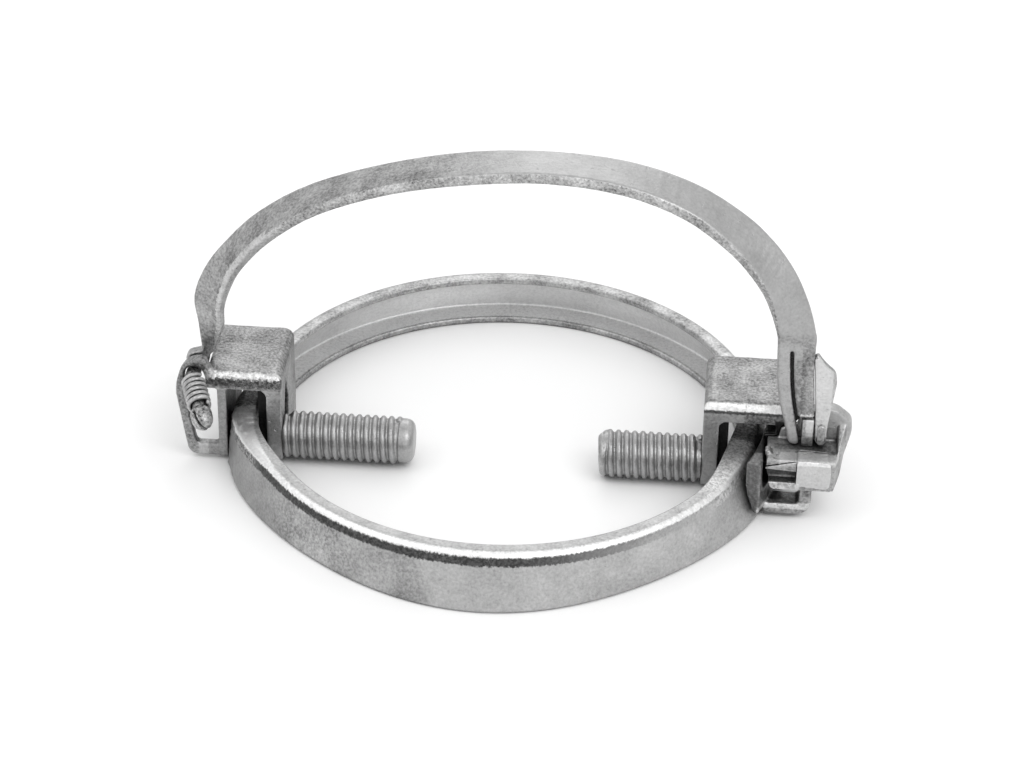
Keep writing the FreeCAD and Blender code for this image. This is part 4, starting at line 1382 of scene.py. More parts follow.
@dataclass
class Stud:
    """A threaded stud on the saddle's inner wall.

    Attributes:
        node: The CAD node that it stands for.
        side: -1 for the left stud and 1 for the right one.
        domed: Whether its tip is a smooth dome instead of a flat face.
        pitch, ridge: The distance from ridge to ridge, and their height over the roots.
        flank: The ridge's height at each eighth of its width, as a share.
    """

    node: str
    side: int
    domed: bool
    radius: float = 5.0
    line_y: float = -6.75
    line_z: float = 5.25
    pitch: float = 1.7
    ridge: float = 0.72
    cap: float = 2.8
    chamfer: float = 0.8
    flank: tuple[float, ...] = (0.0, 0.30, 0.75, 0.97, 1.0, 0.97, 0.75, 0.30, 0.0)
    voxel: float = 0.16

    def build(self, finish: Material, ripples: Texture) -> Object:
        """Screw the thread, turn the core and its tip, and join them.

        Args:
            finish: The stud's material.
            ripples: The texture of the rolled unevenness.

        Returns:
            The stud.
        """
        low, high = node_box(self.node)
        root = low.x if self.side < 0 else high.x
        length = high.x - low.x
        tip = self.cap if self.domed else self.chamfer + 0.3
        thread = self.thread(length - tip)
        core = self.core(length)
        obj = Bench.fuse(self.node + "_thread", [thread, core], self.voxel, 2)
        Bench.ripple(obj, ripples, 0.12)
        origin = Vector((root, self.line_y, self.line_z))
        Bench.turn_to(obj, origin, Vector((-self.side, 0, 0)), Vector((0, -self.side, 0)))
        return Bench.done(obj, Body.CLAMP, Slot.STUD, [self.node], finish)

    def thread(self, length: float) -> Object:
        """Screw one rounded ridge along the stud's length, from x = -0.5 on.

        Args:
            length: The length of the threaded part.

        Returns:
            The thread.
        """
        base = self.radius - self.ridge
        step = self.pitch / (len(self.flank) - 1)
        spots = [Vector((-0.5 + step * index, 0.0, base + self.ridge * share))
                 for index, share in enumerate(self.flank)]
        obj = Bench.line(self.node + "_ridge", spots, close=False)
        bpy.ops.object.mode_set(mode="OBJECT")
        turns = int(round(length / self.pitch))
        Bench.modify(obj, "SCREW", axis="X", angle=FULL_TURN, screw_offset=self.pitch, steps=48, render_steps=48,
                     iterations=turns, use_merge_vertices=True, merge_threshold=0.01)
        Bench.edit(obj)
        Bench.all_in()
        bpy.ops.mesh.remove_doubles(threshold=0.01)
        Bench.all_in()
        bpy.ops.mesh.fill_holes(sides=0)
        Bench.face_out(obj)
        return obj

    def core(self, length: float) -> Object:
        """Turn the core with its domed or chamfered tip.

        Args:
            length: The stud's length.

        Returns:
            The core.
        """
        inner = self.radius - self.ridge - 0.05
        if self.domed:
            start, rim = length - self.cap - 0.4, self.radius - 0.35
            outline = [(0.0, 0.0), (0.0, inner), (start, inner), (start, rim), (length, rim), (length, 0.0)]
            radii = [0.0, 0.0, 0.0, 0.3, 1.9, 0.0]
        else:
            start, rim = length - self.chamfer - 0.3, self.radius - 0.2
            outline = [(0.0, 0.0), (0.0, inner), (start, inner), (start, rim), (length - self.chamfer, rim),
                       (length, self.radius - self.chamfer), (length, 0.0)]
            radii = None
        return Bench.turned(self.node + "_core", outline, X_AXIS, 64, radii)


@dataclass(frozen=True)
class Station:
    """One section of the strap: its angle on the arch, its shift along x, its lift, its width and its twist."""

    angle: float
    shift: float
    lift: float
    width: float
    twist: float


@dataclass
class Bail:
    """The strap bail with its eye tab and its fork.

    Attributes:
        half_span, rise, tilt: Half the arch's span, its rise, and its tilt up towards the fork in degrees.
        stations: The sections of the strap that were read from the photograph.
        web_deep: How far the web in the slit lies behind the fork's front; the web is a sheet that carries the slit's
            painted shade.
        margin: The width of the ground margin beside the neck's inner edge.
        facing: How far a face has to look along the strap's width to be its edge.
        neck_foot, neck_right: Where the rough edge starts at the neck, and where its margin ends.
        fork_left, fork_top: The prongs, right of the one and under the other, have no rough edge.
        slit_low, slit_high: The corners of the slit's box, along x and z.
    """

    half_span: float = 62.48
    rise: float = 39.87
    tilt: float = 11.97
    offset: float = 2.565
    height: float = 32.53
    strap: float = 2.5
    hinge_x: float = -63.7
    hinge_z: float = 20.8
    bore: float = 1.55
    tab_radius: float = 2.4
    tab_y: float = -3.4
    fork_x: float = 59.79
    fork_y: float = -12.9
    fork_z: float = 40.0
    voxel: float = 0.24
    stations: tuple[Station, ...] = (
        Station(173.7, 3.0, 0, 2.9, 90), Station(166, 3.3, 0, 5.2, 80), Station(158.6, 1.70, 0, 6.6, 70),
        Station(150.5, 0.90, 0, 6.9, 54), Station(142, 0.43, 0.12, 6.9, 36), Station(130, -0.38, 0, 7.8, 21),
        Station(117, -0.25, 0.19, 8.5, 9), Station(102, 0.75, -0.12, 8.5, 6), Station(87, 1.06, -0.31, 9.1, 5),
        Station(72, 0.69, 0, 8.9, 4), Station(57, 0.44, 0.50, 9.0, 7), Station(43, 0.19, 0.50, 9.3, 12),
        Station(30, -0.25, 0, 9.2, 22), Station(20, -0.56, -0.06, 8.7, 33), Station(11, -0.45, -0.25, 8.1, 46),
        Station(3, -0.45, 0.12, 7.8, 60), Station(-3, 0, 0.25, 7.8, 72), Station(-7.6, 0, 0, 7.9, 90))
    prongs: tuple[Flat, ...] = ((55.84, 40.6), (56.34, 28.0), (59.5, 15.05), (61.65, 15.05), (59.14, 28.0),
                                (58.59, 37.4), (59.24, 37.4), (59.79, 28.0), (60.99, 21.65), (64.39, 21.65),
                                (63.49, 34.6), (63.74, 40.6))
    prong_rounds: tuple[float, ...] = (0.0, 4.0, 0.9, 0.7, 4.0, 0.3, 0.3, 4.0, 0.5, 0.4, 4.0, 0.0)
    backing: tuple[Flat, ...] = ((58.2, 38.0), (58.6, 28.0), (60.1, 19.9), (61.5, 20.2), (61.3, 22.4), (60.4, 28.0),
                                 (59.8, 38.0))
    web_deep: float = 1.5
    between: int = 4
    margin: float = 1.15
    facing: float = 0.62
    neck_foot: float = 24.5
    neck_right: float = -48.0
    fork_left: float = 40.0
    fork_top: float = 41.5
    slit_low: Flat = (58.4, 19.6)
    slit_high: Flat = (61.8, 37.6)

    def build(self, finish: Material, strip: Material, gap: Material, ripples: Texture) -> Object:
        """Bridge the strap through its stations, and forge the tab and the fork on.

        Args:
            finish: The bail's material.
            strip: The rough material of the strap's cut edge.
            gap: The near-black material inside the fork's slit, painted shade.
            ripples: The texture of the strap's unevenness.

        Returns:
            The bail.
        """
        obj = Bench.fuse("strap_bail", [self.arch(), self.tab(), self.fork()], self.voxel, 4)
        Bench.ripple(obj, ripples, 0.06)
        edge = self.edge_faces(obj)
        hidden = self.slit_faces(obj)
        Bench.done(obj, Body.BAIL, Slot.BAIL, ["bail_strap"], finish)
        Bench.dress(obj, strip, edge)
        Bench.dress(obj, gap, hidden)
        return obj

    def slit_faces(self, obj: Object) -> list[int]:
        """Pick the faces of the web behind the fork's slit, which carry the near-black painted shade.

        Args:
            obj: The bail in millimetres.

        Returns:
            The faces' numbers.
        """
        web = self.fork_y - self.strap / 2 + self.web_deep
        (left, low), (right, high) = self.slit_low, self.slit_high
        picked = []
        for polygon in obj.data.polygons:
            at = polygon.center
            inside = -0.5 < at.y - web < 0.6 and low < at.z < high and left < at.x < right
            if inside and (polygon.normal.y < -0.3 or at.z < low + 3.0):
                picked.append(polygon.index)
        return picked

    def edge_faces(self, obj: Object) -> list[int]:
        """Pick the faces of the strap's front edge, which is the inner one at both ends.

        Args:
            obj: The bail in millimetres.

        Returns:
            The faces' numbers.
        """
        places = self.smooth_places()[3:-4]
        nearby = kdtree.KDTree(len(places))
        for index, place in enumerate(places):
            nearby.insert(place[0], index)
        nearby.balance()
        picked = []
        for polygon in obj.data.polygons:
            centre = polygon.center
            if centre.z < self.neck_foot or (centre.x > self.fork_left and centre.z < self.fork_top):
                continue
            _, index, _ = nearby.find(centre)
            middle, wide, _, width = places[index]
            inner = (centre - middle).dot(wide) < self.margin - width / 2
            margin = inner and centre.x < self.neck_right and polygon.normal.y < -0.2
            if margin or polygon.normal.dot(wide) < -self.facing:
                picked.append(polygon.index)
        return picked

    def place(self, station: Station, first: bool, last: bool) -> tuple[Vector, Vector, Vector]:
        """Give a section's centre, its width direction and its thickness direction.

        Args:
            station: The section's station.
            first: Whether it is the neck's end.
            last: Whether it meets the fork.

        Returns:
            The centre, the width direction and the thickness direction.
        """
        turn = math.radians(station.angle)
        tilt = math.radians(self.tilt)
        along = self.half_span * math.cos(turn)
        across = self.rise * math.sin(turn)
        x = -self.offset + along * math.cos(tilt) - across * math.sin(tilt) + station.shift
        z = self.height + along * math.sin(tilt) + across * math.cos(tilt) + station.lift
        out = Vector((math.cos(turn) / self.half_span, 0, math.sin(turn) / self.rise)).normalized()
        out = Matrix.Rotation(-tilt, 3, "Y") @ out
        share = (x - self.hinge_x) / (self.fork_x - self.hinge_x)
        centre = Vector((x, self.tab_y + (self.fork_y - self.tab_y) * share, z))
        if first:
            out = Vector((-1, 0, 0))
            centre.y = self.tab_y
        if last:
            out = Vector((1, 0, 0))
            centre = Vector((self.fork_x, self.fork_y, self.fork_z))
        twist = math.radians(station.twist)
        wide = out * math.sin(twist) + Vector((0, 1, 0)) * math.cos(twist)
        thick = out * math.cos(twist) - Vector((0, 1, 0)) * math.sin(twist)
        return centre, wide, thick

    def arch(self) -> Object:
        """Set a flat section at each place along the arch and bridge them in order.

        Returns:
            The arch.
        """
        places = self.smooth_places()
        obj = self.section(*places[0])
        obj.name = obj.data.name = "arch"
        for place in places[1:]:
            section = self.section(*place)
            Bench.clear()
            section.select_set(True)
            obj.select_set(True)
            bpy.context.view_layer.objects.active = obj
            bpy.ops.object.join()
        Bench.edit(obj)
        Bench.all_in()
        bpy.ops.mesh.delete(type="ONLY_FACE")
        bpy.ops.mesh.select_mode(type="EDGE")
        for index in range(len(places) - 1):
            bpy.ops.mesh.select_all(action="DESELECT")
            mesh = bmesh.from_edit_mesh(obj.data)
            for edge in mesh.edges:
                rings = {vertex.index // 4 for vertex in edge.verts}
                edge.select = len(rings) == 1 and rings <= {index, index + 1}
            bmesh.update_edit_mesh(obj.data)
            bpy.ops.mesh.bridge_edge_loops()
        Bench.all_in()
        bpy.ops.mesh.fill_holes(sides=4)
        Bench.face_out(obj)
        Bench.blunt(obj, 0.55, 45)
        return obj

    def section(self, centre: Vector, wide: Vector, thick: Vector, width: float) -> Object:
        """Set one flat section in its place across the arch.

        Args:
            centre: Its middle.
            wide: The direction of its width.
            thick: The direction of its thickness.
            width: Its width.

        Returns:
            The section.
        """
        Bench.clear()
        bpy.ops.mesh.primitive_plane_add(size=1.0)
        obj = bpy.context.object
        turn = Matrix((wide, thick, wide.cross(thick))).transposed().to_4x4()
        obj.matrix_world = Matrix.Translation(centre) @ turn @ Matrix.Diagonal((width, self.strap, 1.0, 1.0))
        Bench.settle()
        return obj

    def smooth_places(self) -> list[tuple[Vector, Vector, Vector, float]]:
        """Give the sections' places, with smooth steps between the stations.

        Returns:
            The centre, the width direction, the thickness direction and the width of each section.
        """
        last = len(self.stations) - 1
        frames = []
        for index, station in enumerate(self.stations):
            frames.append((*self.place(station, index == 0, index == last), station.width))
        places = []
        for index in range(last):
            around = [frames[max(index - 1, 0)], frames[index], frames[index + 1], frames[min(index + 2, last)]]
            for step in range(self.between):
                share = step / self.between
                weights = self.spline_weights(share)
                centre = sum((spot[0] * weight for spot, weight in zip(around, weights)), Vector())
                wide = sum((spot[1] * weight for spot, weight in zip(around, weights)), Vector()).normalized()
                thick = sum((spot[2] * weight for spot, weight in zip(around, weights)), Vector())
                thick = (thick - wide * thick.dot(wide)).normalized()
                width = sum(spot[3] * weight for spot, weight in zip(around, weights))
                places.append((centre, wide, thick, width))
        places.append(frames[last])
        return places

    @staticmethod
    def spline_weights(share: float) -> tuple[float, float, float, float]:
        """Give the four weights of a smooth curve between two stations.

        Args:
            share: How far the place lies between the two.

        Returns:
            The weights of the four stations around it.
        """
        square, cube = share * share, share ** 3
        return (-0.5 * cube + square - 0.5 * share, 1.5 * cube - 2.5 * square + 1.0,
                -1.5 * cube + 2.0 * square + 0.5 * share, 0.5 * cube - 0.5 * square)

    def tab(self) -> Object:
        """Make the tab with its bore round the hinge rod.

        Returns:
            The tab.
        """
        neck, _, _ = self.place(self.stations[0], True, False)
        half = self.stations[0].width / 2
        low, high = self.hinge_z - self.tab_radius, self.hinge_z + 1.4
        left, right = self.hinge_x - self.tab_radius, self.hinge_x + self.tab_radius
        points = [(left, low), (right, low), (right, high), (neck.x + half, neck.z - 0.6),
                  (neck.x + half, neck.z + 0.4), (neck.x - half, neck.z + 0.4), (neck.x - half, neck.z - 0.6),
                  (left, high)]
        tab = Bench.plate("eye_tab", Plane.XZ, self.tab_y - self.strap / 2, points, self.strap,
                          [self.tab_radius, self.tab_radius, 1.2, 0.0, 0.0, 0.0, 0.0, 1.2], 0.4)
        Bench.cut(tab, Bench.cylinder((self.hinge_x, self.tab_y, self.hinge_z), self.bore, 2 * self.strap, 48))
        return tab

    def fork(self) -> Object:
        """Make the fork: a kinked prong, a slit and a tongue.

        Returns:
            The fork.
        """
        front = self.fork_y - self.strap / 2
        fork = Bench.plate("fork", Plane.XZ, front, self.prongs, self.strap, self.prong_rounds, 0.45)
        # The backing is a web behind the slit that carries the slit's near-black painted shade.
        backing = Bench.plate("fork_backing", Plane.XZ, front + self.web_deep, self.backing, 0.8)
        return Bench.fuse("fork", [fork, backing], 0.2, 1)


@dataclass
class HingeRod:
    """The hinge rod with its bent tail, and the wire bound round it.

    Attributes:
        out, back, corner: How far the rod's axis, rear end and corner lie from the ring's axis.
        droop, lean: How far the tail points down and leans sideways, in degrees.
        tail, tip: The length of the plain tail from the corner, and with its bulb.
        wire_start: How far the wire starts from the corner.
    """

    radius: float = 1.5
    out: float = 63.7
    height: float = 20.8
    back: float = 1.6
    corner: float = 10.75
    bend: float = 1.6
    droop: float = 28.6
    lean: float = 42.0
    tail: float = 11.9
    tip: float = 13.4
    bulb: float = 2.25
    slot: float = 0.8
    slot_deep: float = 3.8
    wire: float = 1.0
    wire_pitch: float = 1.15
    wire_turns: int = 7
    wire_start: float = 0.45

    @property
    def knee(self) -> Vector:
        """The place of the rod's corner."""
        return Vector((-self.out, -self.corner, self.height))

    @property
    def down(self) -> Vector:
        """The direction that the tail bends to."""
        lean = math.radians(self.lean)
        return Vector((math.sin(lean), 0, -math.cos(lean)))

    def ways(self) -> tuple[Vector, Vector]:
        """Give the tail's direction and the direction across it in the bend's plane.

        Returns:
            The two directions.
        """
        droop = math.radians(self.droop)
        down = self.down
        return AHEAD * math.cos(droop) + down * math.sin(droop), down * math.cos(droop) - AHEAD * math.sin(droop)

    def build(self, finish: Material, wire_finish: Material, ripples: Texture) -> Object:
        """Bend the rod, slot its tip and wind the wire.

        Args:
            finish: The rod's material.
            wire_finish: The wire's material.
            ripples: The texture of the drawn unevenness.

        Returns:
            The rod.
        """
        way, side = self.ways()
        rod = self.bent(way)
        head = self.head()
        Bench.turn_to(head, self.knee, way, side)
        cutter = Bench.plate("tip_slot", Plane.XY, -self.slot / 2,
                             [(-self.slot_deep, -3.0), (1.0, -3.0), (1.0, 3.0), (-self.slot_deep, 3.0)], self.slot)
        Bench.turn_to(cutter, self.knee + way * self.tip, way, side)
        obj = Bench.fuse("bent_rod", [rod, head], 0.16, 2)
        Bench.cut(obj, cutter)
        Bench.ripple(obj, ripples, 0.08)
        Bench.done(obj, Body.BAIL, Slot.BAIL, ["hinge_rod"], finish)
        self.wind(way, side, wire_finish, ripples)
        return obj

    def bent(self, way: Vector) -> Object:
        """Extrude and spin the rod's round section.

        Args:
            way: The tail's direction.

        Returns:
            The rod without its bulb.
        """
        droop = math.radians(self.droop)
        reach = self.bend * math.tan(droop / 2)
        Bench.clear()
        bpy.ops.mesh.primitive_circle_add(vertices=28, radius=self.radius, fill_type="NGON", enter_editmode=True,
                                          location=(-self.out, -self.back, self.height), rotation=(math.pi / 2, 0, 0))
        obj = bpy.context.object
        obj.name = obj.data.name = "bent_rod"
        bpy.ops.object.mode_set(mode="OBJECT")
        Bench.settle()
        bpy.ops.object.mode_set(mode="EDIT")
        Bench.all_in()
        run = self.corner - self.back - reach
        Bench.extrude((0, -run, 0))
        centre = Vector((-self.out, -self.corner + reach, self.height)) + self.down * self.bend
        bpy.ops.mesh.spin(steps=8, angle=-droop, center=centre, axis=AHEAD.cross(self.down))
        Bench.extrude(way * (self.tail - reach))
        Bench.face_out(obj)
        Bench.blunt(obj, 0.35, 50)
        return obj

    def head(self) -> Object:
        """Turn the bulb at the tail's tip, along x from the rod's corner.

        Returns:
            The bulb.
        """
        far = self.tip
        outline = [(far - 4.85, 0.0), (far - 4.85, self.radius + 0.25), (far - 4.15, self.bulb),
                   (far - 1.6, self.bulb), (far - 0.4, 1.35), (far, 0.65), (far, 0.0)]
        return Bench.turned("tail_bulb", outline, X_AXIS, 48, [0.0, 0.2, 0.5, 0.8, 0.4, 0.3, 0.0])

    def wind(self, way: Vector, side: Vector, finish: Material, ripples: Texture) -> Object:
        """Screw the wire's round section along the tail and close its cut ends.

        Args:
            way: The tail's direction.
            side: The direction across it.
            finish: The wire's material.
            ripples: The texture of the drawn unevenness.

        Returns:
            The wire.
        """
        Bench.clear()
        around = self.radius + 0.05 + self.wire / 2
        bpy.ops.mesh.primitive_circle_add(vertices=12, radius=self.wire / 2, location=(self.wire / 2, 0, around),
                                          rotation=(math.pi / 2, 0, 0))
        obj = bpy.context.object
        obj.name = obj.data.name = "bound_wire"
        Bench.settle()
        Bench.modify(obj, "SCREW", axis="X", angle=FULL_TURN, screw_offset=self.wire_pitch, steps=36,
                     render_steps=36, iterations=self.wire_turns - 1)
        Bench.edit(obj)
        Bench.all_in()
        bpy.ops.mesh.fill_holes(sides=0)
        Bench.face_out(obj)
        Bench.ripple(obj, ripples, 0.25)
        corner = Vector((-self.out, -self.corner, self.height))
        Bench.turn_to(obj, corner + way * self.wire_start, way, side)
        return Bench.done(obj, Body.BAIL, Slot.WIRE, ["binding_wire"], finish)


@dataclass
class Latch:
    """The latch: block, wedge key, keeper post, catch lever and its pin.

    Attributes:
        front, back, cheek_front: How far these faces stand before the ring's axis.
        wall_out: The outer face of the saddle's wall, which the cheek clears by cheek_gap.
        boss_proud, boss_depth: How far the boss stands out, and reaches back into the block.
        groove: The width of the groove behind the boss.
        hub: The radius of the catch's foot round the pin.
    """

    left: float = 55.2
    right: float = 70.1
    front: float = 19.6
    back: float = 10.9
    top: float = 14.7
    ledge: float = 7.6
    wall_out: float = 60.39
    boss_left: float = 61.4
    boss_proud: float = 1.0
    boss_top: float = 15.3
    boss_depth: float = 3.0
    groove: float = 1.1
    recess_foot: float = 9.3
    recess_depth: float = 2.2
    cheek_front: float = 11.35
    cheek_thick: float = 3.0
    cheek_top: float = 22.2
    cheek_reach: float = 72.3
    cheek_gap: float = 0.85
    pin_x: float = 65.94
    pin_z: float = 16.4
    pin_radius: float = 0.8
    pin_gap: float = 0.05
    hub: float = 1.2
    voxel: float = 0.2

    def build(self, finish: Material, ripples: Texture) -> None:
        """Make the latch's five pieces.

        Args:
            finish: The latch's material.
            ripples: The texture of the forging's unevenness.
        """
        self.block(finish, ripples)
        self.wedge(finish)
        self.post(finish)
        self.catch(finish, ripples)
        self.pin(finish)

    @property
    def cheek_left(self) -> float:
        """The cheek's inner side, just clear of the saddle's wall."""
        return self.wall_out + self.cheek_gap

    def block(self, finish: Material, ripples: Texture) -> Object:
        """Forge the block from its base, cheek, boss, nub, web and shoulder, and drill the pin's bore.

        Args:
            finish: The latch's material.
            ripples: The texture of the forging's unevenness.

        Returns:
            The block.
        """
        base, shoulder = self.base(), self.shoulder()
        for part in (base, shoulder):
            Bench.cut(part, self.worn_corner())
        parts = [base, self.cheek(), self.boss(), self.nub(), self.web(), shoulder]
        obj = Bench.fuse("latch_forging", parts, self.voxel, 3)
        middle = (self.pin_x, -self.cheek_front, self.pin_z)
        Bench.cut(obj, Bench.cylinder(middle, self.pin_radius + self.pin_gap, 4.0))
        Bench.ripple(obj, ripples, 0.08)
        return Bench.done(obj, Body.CLAMP, Slot.LATCH, ["latch_block"], finish)

    def cheek(self) -> Object:
        """Make the rear cheek that the catch turns at.

        Returns:
            The cheek.
        """
        side, reach, crown, ledge = self.cheek_left, self.cheek_reach, self.cheek_top, self.ledge
        points = [(side, ledge), (side, crown - 1.6), (side + 5.2, crown - 0.1), (side + 7.4, crown),
                  (reach - 0.2, crown - 2.8), (reach, crown - 4.9), (self.right, ledge)]
        return Bench.plate("cheek", Plane.XZ, -self.cheek_front, points, self.cheek_thick,
                           [0.0, 0.8, 1.0, 1.2, 1.0, 1.5, 1.2], 0.7)

    def base(self) -> Object:
        """Make the base with the wedge's recess and the groove behind the boss.

        Returns:
            The base.
        """
        left, right, ledge, top = self.left, self.right, self.ledge, self.top
        points = [(left + 1.1, ledge), (left, ledge + 2.9), (left, top), (right + 1.3, top), (right, ledge)]
        base = Bench.plate("base", Plane.XZ, -self.front, points, self.front - self.back, [0.4, 0.5, 0.3, 0.0, 1.7])
        recess = [(left - 1.0, self.recess_foot), (self.boss_left, self.recess_foot), (self.boss_left, top - 0.1),
                  (left - 1.0, top - 1.8)]
        Bench.cut(base, Bench.plate("recess", Plane.XZ, -self.front - 0.5, recess, self.recess_depth + 0.5))
        behind = -self.front + self.boss_depth
        groove = [(self.boss_left + 0.3, behind - 0.4), (right - 2.2, behind - 0.4),
                  (right - 2.2, behind + self.groove * 0.6), (self.boss_left + 0.3, behind + self.groove)]
        Bench.cut(base, Bench.plate("groove", Plane.XY, self.boss_top + 0.6, groove, -2.1))
        return base

    def boss(self) -> Object:
        """Make the boss with its rounded upper front edge.

        Returns:
            The boss.
        """
        right, crown = self.right, self.boss_top
        ahead = -self.front - self.boss_proud
        points = [(self.boss_left, self.ledge + 1.6), (self.boss_left, crown), (right - 2.0, crown - 0.2),
                  (right - 1.6, crown - 2.4), (right - 1.9, self.ledge + 0.9)]
        boss = Bench.plate("boss", Plane.XZ, ahead, points, self.boss_proud + self.boss_depth,
                           [0.3, 0.4, 0.8, 0.8, 1.2])
        Bench.soften(boss, 0.8, lambda at: abs(at.y - ahead) < 0.01 and at.z > crown - 0.6)
        return boss

    def nub(self) -> Object:
        """Make the small nub on the base's inner end.

        Returns:
            The nub.
        """
        left, top = self.left, self.top
        points = [(left - 0.4, top - 0.6), (left - 0.4, top + 0.9), (left + 0.8, top + 0.7), (left + 1.2, top - 0.6)]
        return Bench.plate("nub", Plane.XZ, -self.front + 2.0, points, 2.0, [0.0, 0.4, 0.5, 0.0], 0.25)

    def web(self) -> Object:
        """Make the web that runs up to the cheek.

        Returns:
            The web.
        """
        left, side, top = self.left, self.cheek_left, self.top
        points = [(left + 2.0, top - 1.0), (left + 2.7, top + 2.2), (side + 0.6, top + 4.0), (side + 0.6, top - 1.0)]
        return Bench.plate("web", Plane.XZ, -self.cheek_front, points, 0.9)

    def shoulder(self) -> Object:
        """Make the shoulder before the cheek.

        Returns:
            The shoulder.
        """
        cheek, top = -self.cheek_front, self.top
        points = [(cheek + 0.4, top - 1.0), (cheek + 0.4, top + 4.6), (cheek - 3.2, top + 1.9),
                  (-self.front + 0.3, top - 1.0)]
        return Bench.plate("shoulder", Plane.YZ, self.right - 0.7, points, 2.2, [0.0, 0.0, 2.0, 0.0], 0.5)

    def worn_corner(self) -> Object:
        """Make the cutter that wears the outer front corner off.

        Returns:
            The cutter.
        """
        right, front, back = self.right, -self.front - 1.0, -self.cheek_front + 1.0
        points = [(right - 1.3, front), (right + 4.0, front), (right + 4.0, back), (right + 1.3, back)]
        return Bench.plate("corner", Plane.XY, self.ledge - 1.0, points, 14.0)

    def wedge(self, finish: Material) -> Object:
        """Make the wedge key under the block's sloping lip.

        Args:
            finish: The latch's material.

        Returns:
            The wedge.
        """
        right = self.boss_left - 0.05
        obj = Bench.plate("wedge_key", Plane.XZ, -self.front - 0.2,
                          [(self.left - 0.2, self.top - 2.15), (self.left - 0.2, self.top - 1.75),
                           (right, self.top - 0.2), (right, self.top - 2.5)], self.recess_depth + 0.2, None, 0.15)
        return Bench.done(obj, Body.CLAMP, Slot.LATCH, ["latch_wedge"], finish, 30.0)

    def post(self, finish: Material) -> Object:
        """Make the square keeper post.

        Args:
            finish: The latch's material.

        Returns:
            The post.
        """
        low, high = node_box("keeper_post")
        obj = Bench.plate("square_post", Plane.XY, low.z,
                          [(low.x, low.y), (high.x, low.y), (high.x, high.y), (low.x, high.y)], high.z - low.z,
                          None, 0.3)
        return Bench.done(obj, Body.CLAMP, Slot.LATCH, ["keeper_post"], finish, 30.0)

    def catch(self, finish: Material, ripples: Texture) -> Object:
        """Make the catch lever beside the fork.

        Args:
            finish: The latch's material.
            ripples: The texture of the forging's unevenness.

        Returns:
            The lever.
        """
        low, high = node_box("catch_lever")
        hub = self.hub
        left, right, foot = self.pin_x - hub, self.pin_x + hub, self.pin_z - hub
        points = [(left, foot), (left - 0.25, 22.5), (63.5, 35.8), (64.4, 36.2), (65.87, 33.92), (67.59, 32.64),
                  (68.49, 31.05), (68.0, 26.3), (right, 19.96), (right, foot)]
        lever = Bench.plate("lever", Plane.XZ, low.y, points, high.y - low.y,
                            [hub * 0.98, 3.0, 0.3, 0.3, 1.5, 0.8, 1.2, 3.0, 2.0, hub * 0.98], 0.35)
        Bench.cut(lever, Bench.cylinder((self.pin_x, low.y, self.pin_z), self.pin_radius + self.pin_gap, 8.0))
        obj = Bench.fuse("catch_forging", [lever], 0.14, 3)
        Bench.ripple(obj, ripples, 0.08)
        return Bench.done(obj, Body.CATCH, Slot.LATCH, ["catch_lever"], finish)

    def pin(self, finish: Material) -> Object:
        """Make the pin with its oval head.

        Args:
            finish: The latch's material.

        Returns:
            The pin.
        """
        low, high = node_box("catch_pin")
        lever_low, _ = node_box("catch_lever")
        radius = self.pin_radius
        left, right, foot = self.pin_x - radius, self.pin_x + radius, self.pin_z - radius
        points = [(left, foot), (right, foot), (right, high.z), (left, high.z)]
        head = Bench.plate("oval_head", Plane.XZ, low.y, points, lever_low.y - self.pin_gap - low.y,
                           [radius * 0.98] * 4, 0.3)
        shaft = Bench.cylinder((self.pin_x, (low.y + high.y) / 2 + 0.2, self.pin_z), radius, high.y - low.y - 0.4)
        obj = Bench.fuse("catch_pin_oval", [head, shaft], 0.1, 2)
        return Bench.done(obj, Body.CLAMP, Slot.LATCH, ["catch_pin"], finish)


# Studio


@dataclass(frozen=True)
class Lamp:
    """A square lamp that looks at the object.

    Attributes:
        place: Its place in metres.
        power: Its power in watts.
    """

    name: str
    place: Spot
    size: float
    power: float

    def build(self) -> None:
        """Hang the lamp."""
        data = bpy.data.lights.new(self.name, "AREA")
        data.shape = "SQUARE"
        data.size = self.size
        data.energy = self.power
        obj = bpy.data.objects.new(self.name, data)
        bpy.context.scene.collection.objects.link(obj)
        obj.location = self.place
        obj.rotation_euler = (-Vector(self.place)).to_track_quat("-Z", "Y").to_euler()


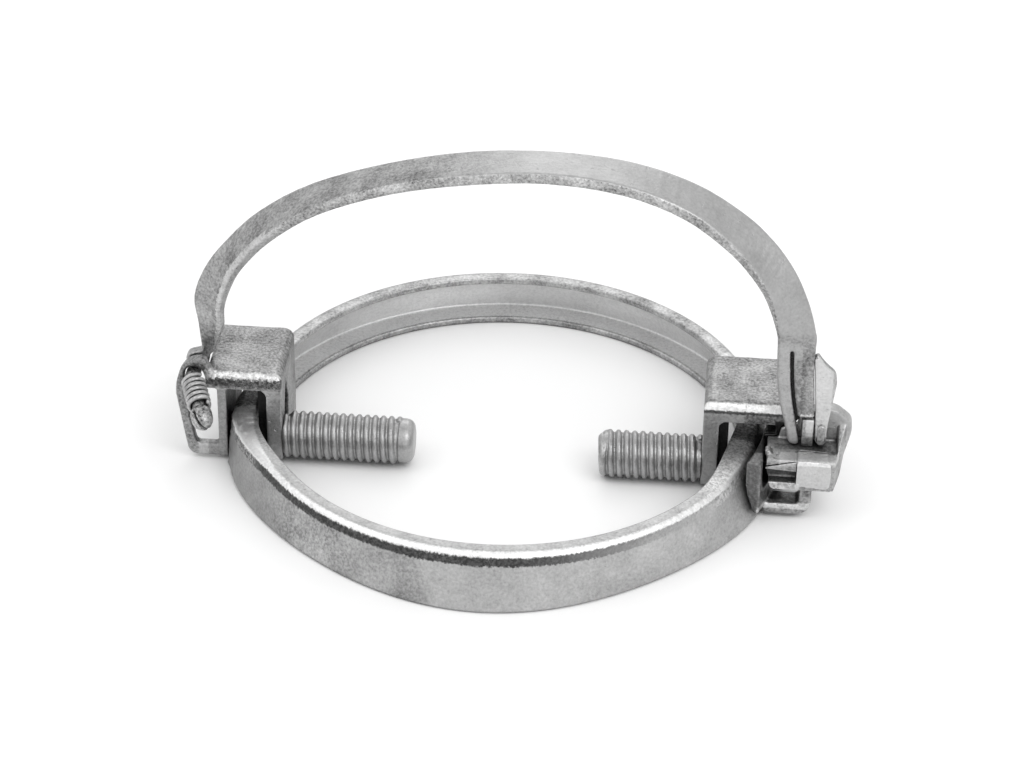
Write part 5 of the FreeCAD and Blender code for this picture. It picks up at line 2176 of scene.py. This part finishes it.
@dataclass
class Studio:
    """Floor, lights and camera, in millimetres and degrees as read from the photograph.

    Attributes:
        target: What the camera looks at.
        distance: How far away it stands.
        rise: How far it looks down, in degrees.
        swing: How far it stands to the right, in degrees.
        roll: How far it is rolled, in degrees.
        focal: Its focal length over the width of the picture.
        dim: The strength of the light that the world gives the object.
    """

    target: Spot = (1.643, 0.0, 16.510)
    distance: float = 675.15
    rise: float = 33.19
    swing: float = 4.5
    roll: float = 0.893
    focal: float = 3237.3 / 1024
    sensor: float = 36.0
    floor_side: float = 4.0
    floor_tone: float = 0.96
    floor_roughness: float = 0.9
    dim: float = 0.85
    lamps: tuple[Lamp, ...] = (Lamp("key", (0.5, -0.5, 0.9), 0.7, 3.5), Lamp("fill", (-0.6, -0.2, 0.9), 0.7, 1.5),
                               Lamp("rim", (0.0, 0.8, 0.6), 0.6, 1.2))

    def camera(self) -> None:
        """Set up the camera."""
        rise, swing, roll = math.radians(self.rise), math.radians(self.swing), math.radians(self.roll)
        back = Vector((math.sin(swing) * math.cos(rise), -math.cos(swing) * math.cos(rise), math.sin(rise)))
        right = Vector((math.cos(swing), math.sin(swing), 0))
        up = back.cross(right)
        across = right * math.cos(roll) + up * math.sin(roll)
        upward = up * math.cos(roll) - right * math.sin(roll)
        data = bpy.data.cameras.new("camera")
        data.sensor_fit = "HORIZONTAL"
        data.sensor_width = self.sensor
        data.lens = self.sensor * self.focal
        data.clip_start = 0.01
        obj = bpy.data.objects.new("camera", data)
        bpy.context.scene.collection.objects.link(obj)
        turn = Matrix((across, upward, back)).transposed().to_4x4()
        obj.matrix_world = Matrix.Translation((Vector(self.target) + back * self.distance) * MM) @ turn
        bpy.context.scene.camera = obj

    def floor(self) -> None:
        """Lay the plain pale floor."""
        Bench.clear()
        bpy.ops.mesh.primitive_plane_add(size=self.floor_side, location=ORIGIN)
        obj = bpy.context.object
        obj.name = "floor"
        material = bpy.data.materials.new("pale_floor")
        material.use_nodes = True
        shader = material.node_tree.nodes["Principled BSDF"]
        shader.inputs["Base Color"].default_value = (*[self.floor_tone] * 3, 1.0)
        shader.inputs["Roughness"].default_value = self.floor_roughness
        obj.data.materials.append(material)

    def world(self) -> None:
        """Make the world white for the camera and for gloss, and dim for the light on the object."""
        world = bpy.data.worlds.new("studio")
        bpy.context.scene.world = world
        world.use_nodes = True
        tree = world.node_tree
        background = tree.nodes["Background"]
        background.inputs["Color"].default_value = (1.0, 1.0, 1.0, 1.0)
        ray = add_node(tree, "LightPath").outputs
        seen = reckon(tree, "MAXIMUM", ray["Is Camera Ray"], ray["Is Glossy Ray"])
        seen = reckon(tree, "MAXIMUM", seen, ray["Is Transmission Ray"])
        mix = add_node(tree, "Mix", {"Factor": seen, "A": self.dim, "B": 1.0}, data_type="FLOAT")
        wire_up(tree, mix.outputs["Result"], background.inputs["Strength"])

    def build(self) -> None:
        """Set the whole studio up."""
        self.camera()
        self.floor()
        self.world()
        for lamp in self.lamps:
            lamp.build()
        bpy.context.scene.view_settings.view_transform = "Standard"


def make_ripples(name: str, scale: float, depth: int) -> Texture:
    """Make a cloud texture that unevenness is worked with.

    Args:
        name: The texture's name.
        scale: The size of its waves in millimetres.
        depth: How many finer waves lie on them.

    Returns:
        The texture.
    """
    texture = bpy.data.textures.new(name, "CLOUDS")
    texture.noise_scale = scale
    texture.noise_depth = depth
    return texture


def main() -> None:
    """Build every piece of the clamp, and the studio round it."""
    logging.basicConfig(level=logging.INFO, format="%(message)s")
    finishes = Finishes()
    ripples = make_ripples("forging_ripples", 2.2, 2)
    BandRing().build(finishes.band, finishes.inside, make_ripples("hammer_marks", 1.0, 4))
    LeftSaddle().build(finishes.saddle, ripples)
    RightSaddle().build(finishes.saddle, ripples)
    Stud("left_stud", -1, True).build(finishes.stud, ripples)
    Stud("right_stud", 1, False).build(finishes.stud, ripples)
    Bail().build(finishes.bail, finishes.strip, finishes.gap, ripples)
    HingeRod().build(finishes.rod, finishes.wire, ripples)
    Latch().build(finishes.latch, ripples)
    Studio().build()


if __name__ == "__main__":
    main()
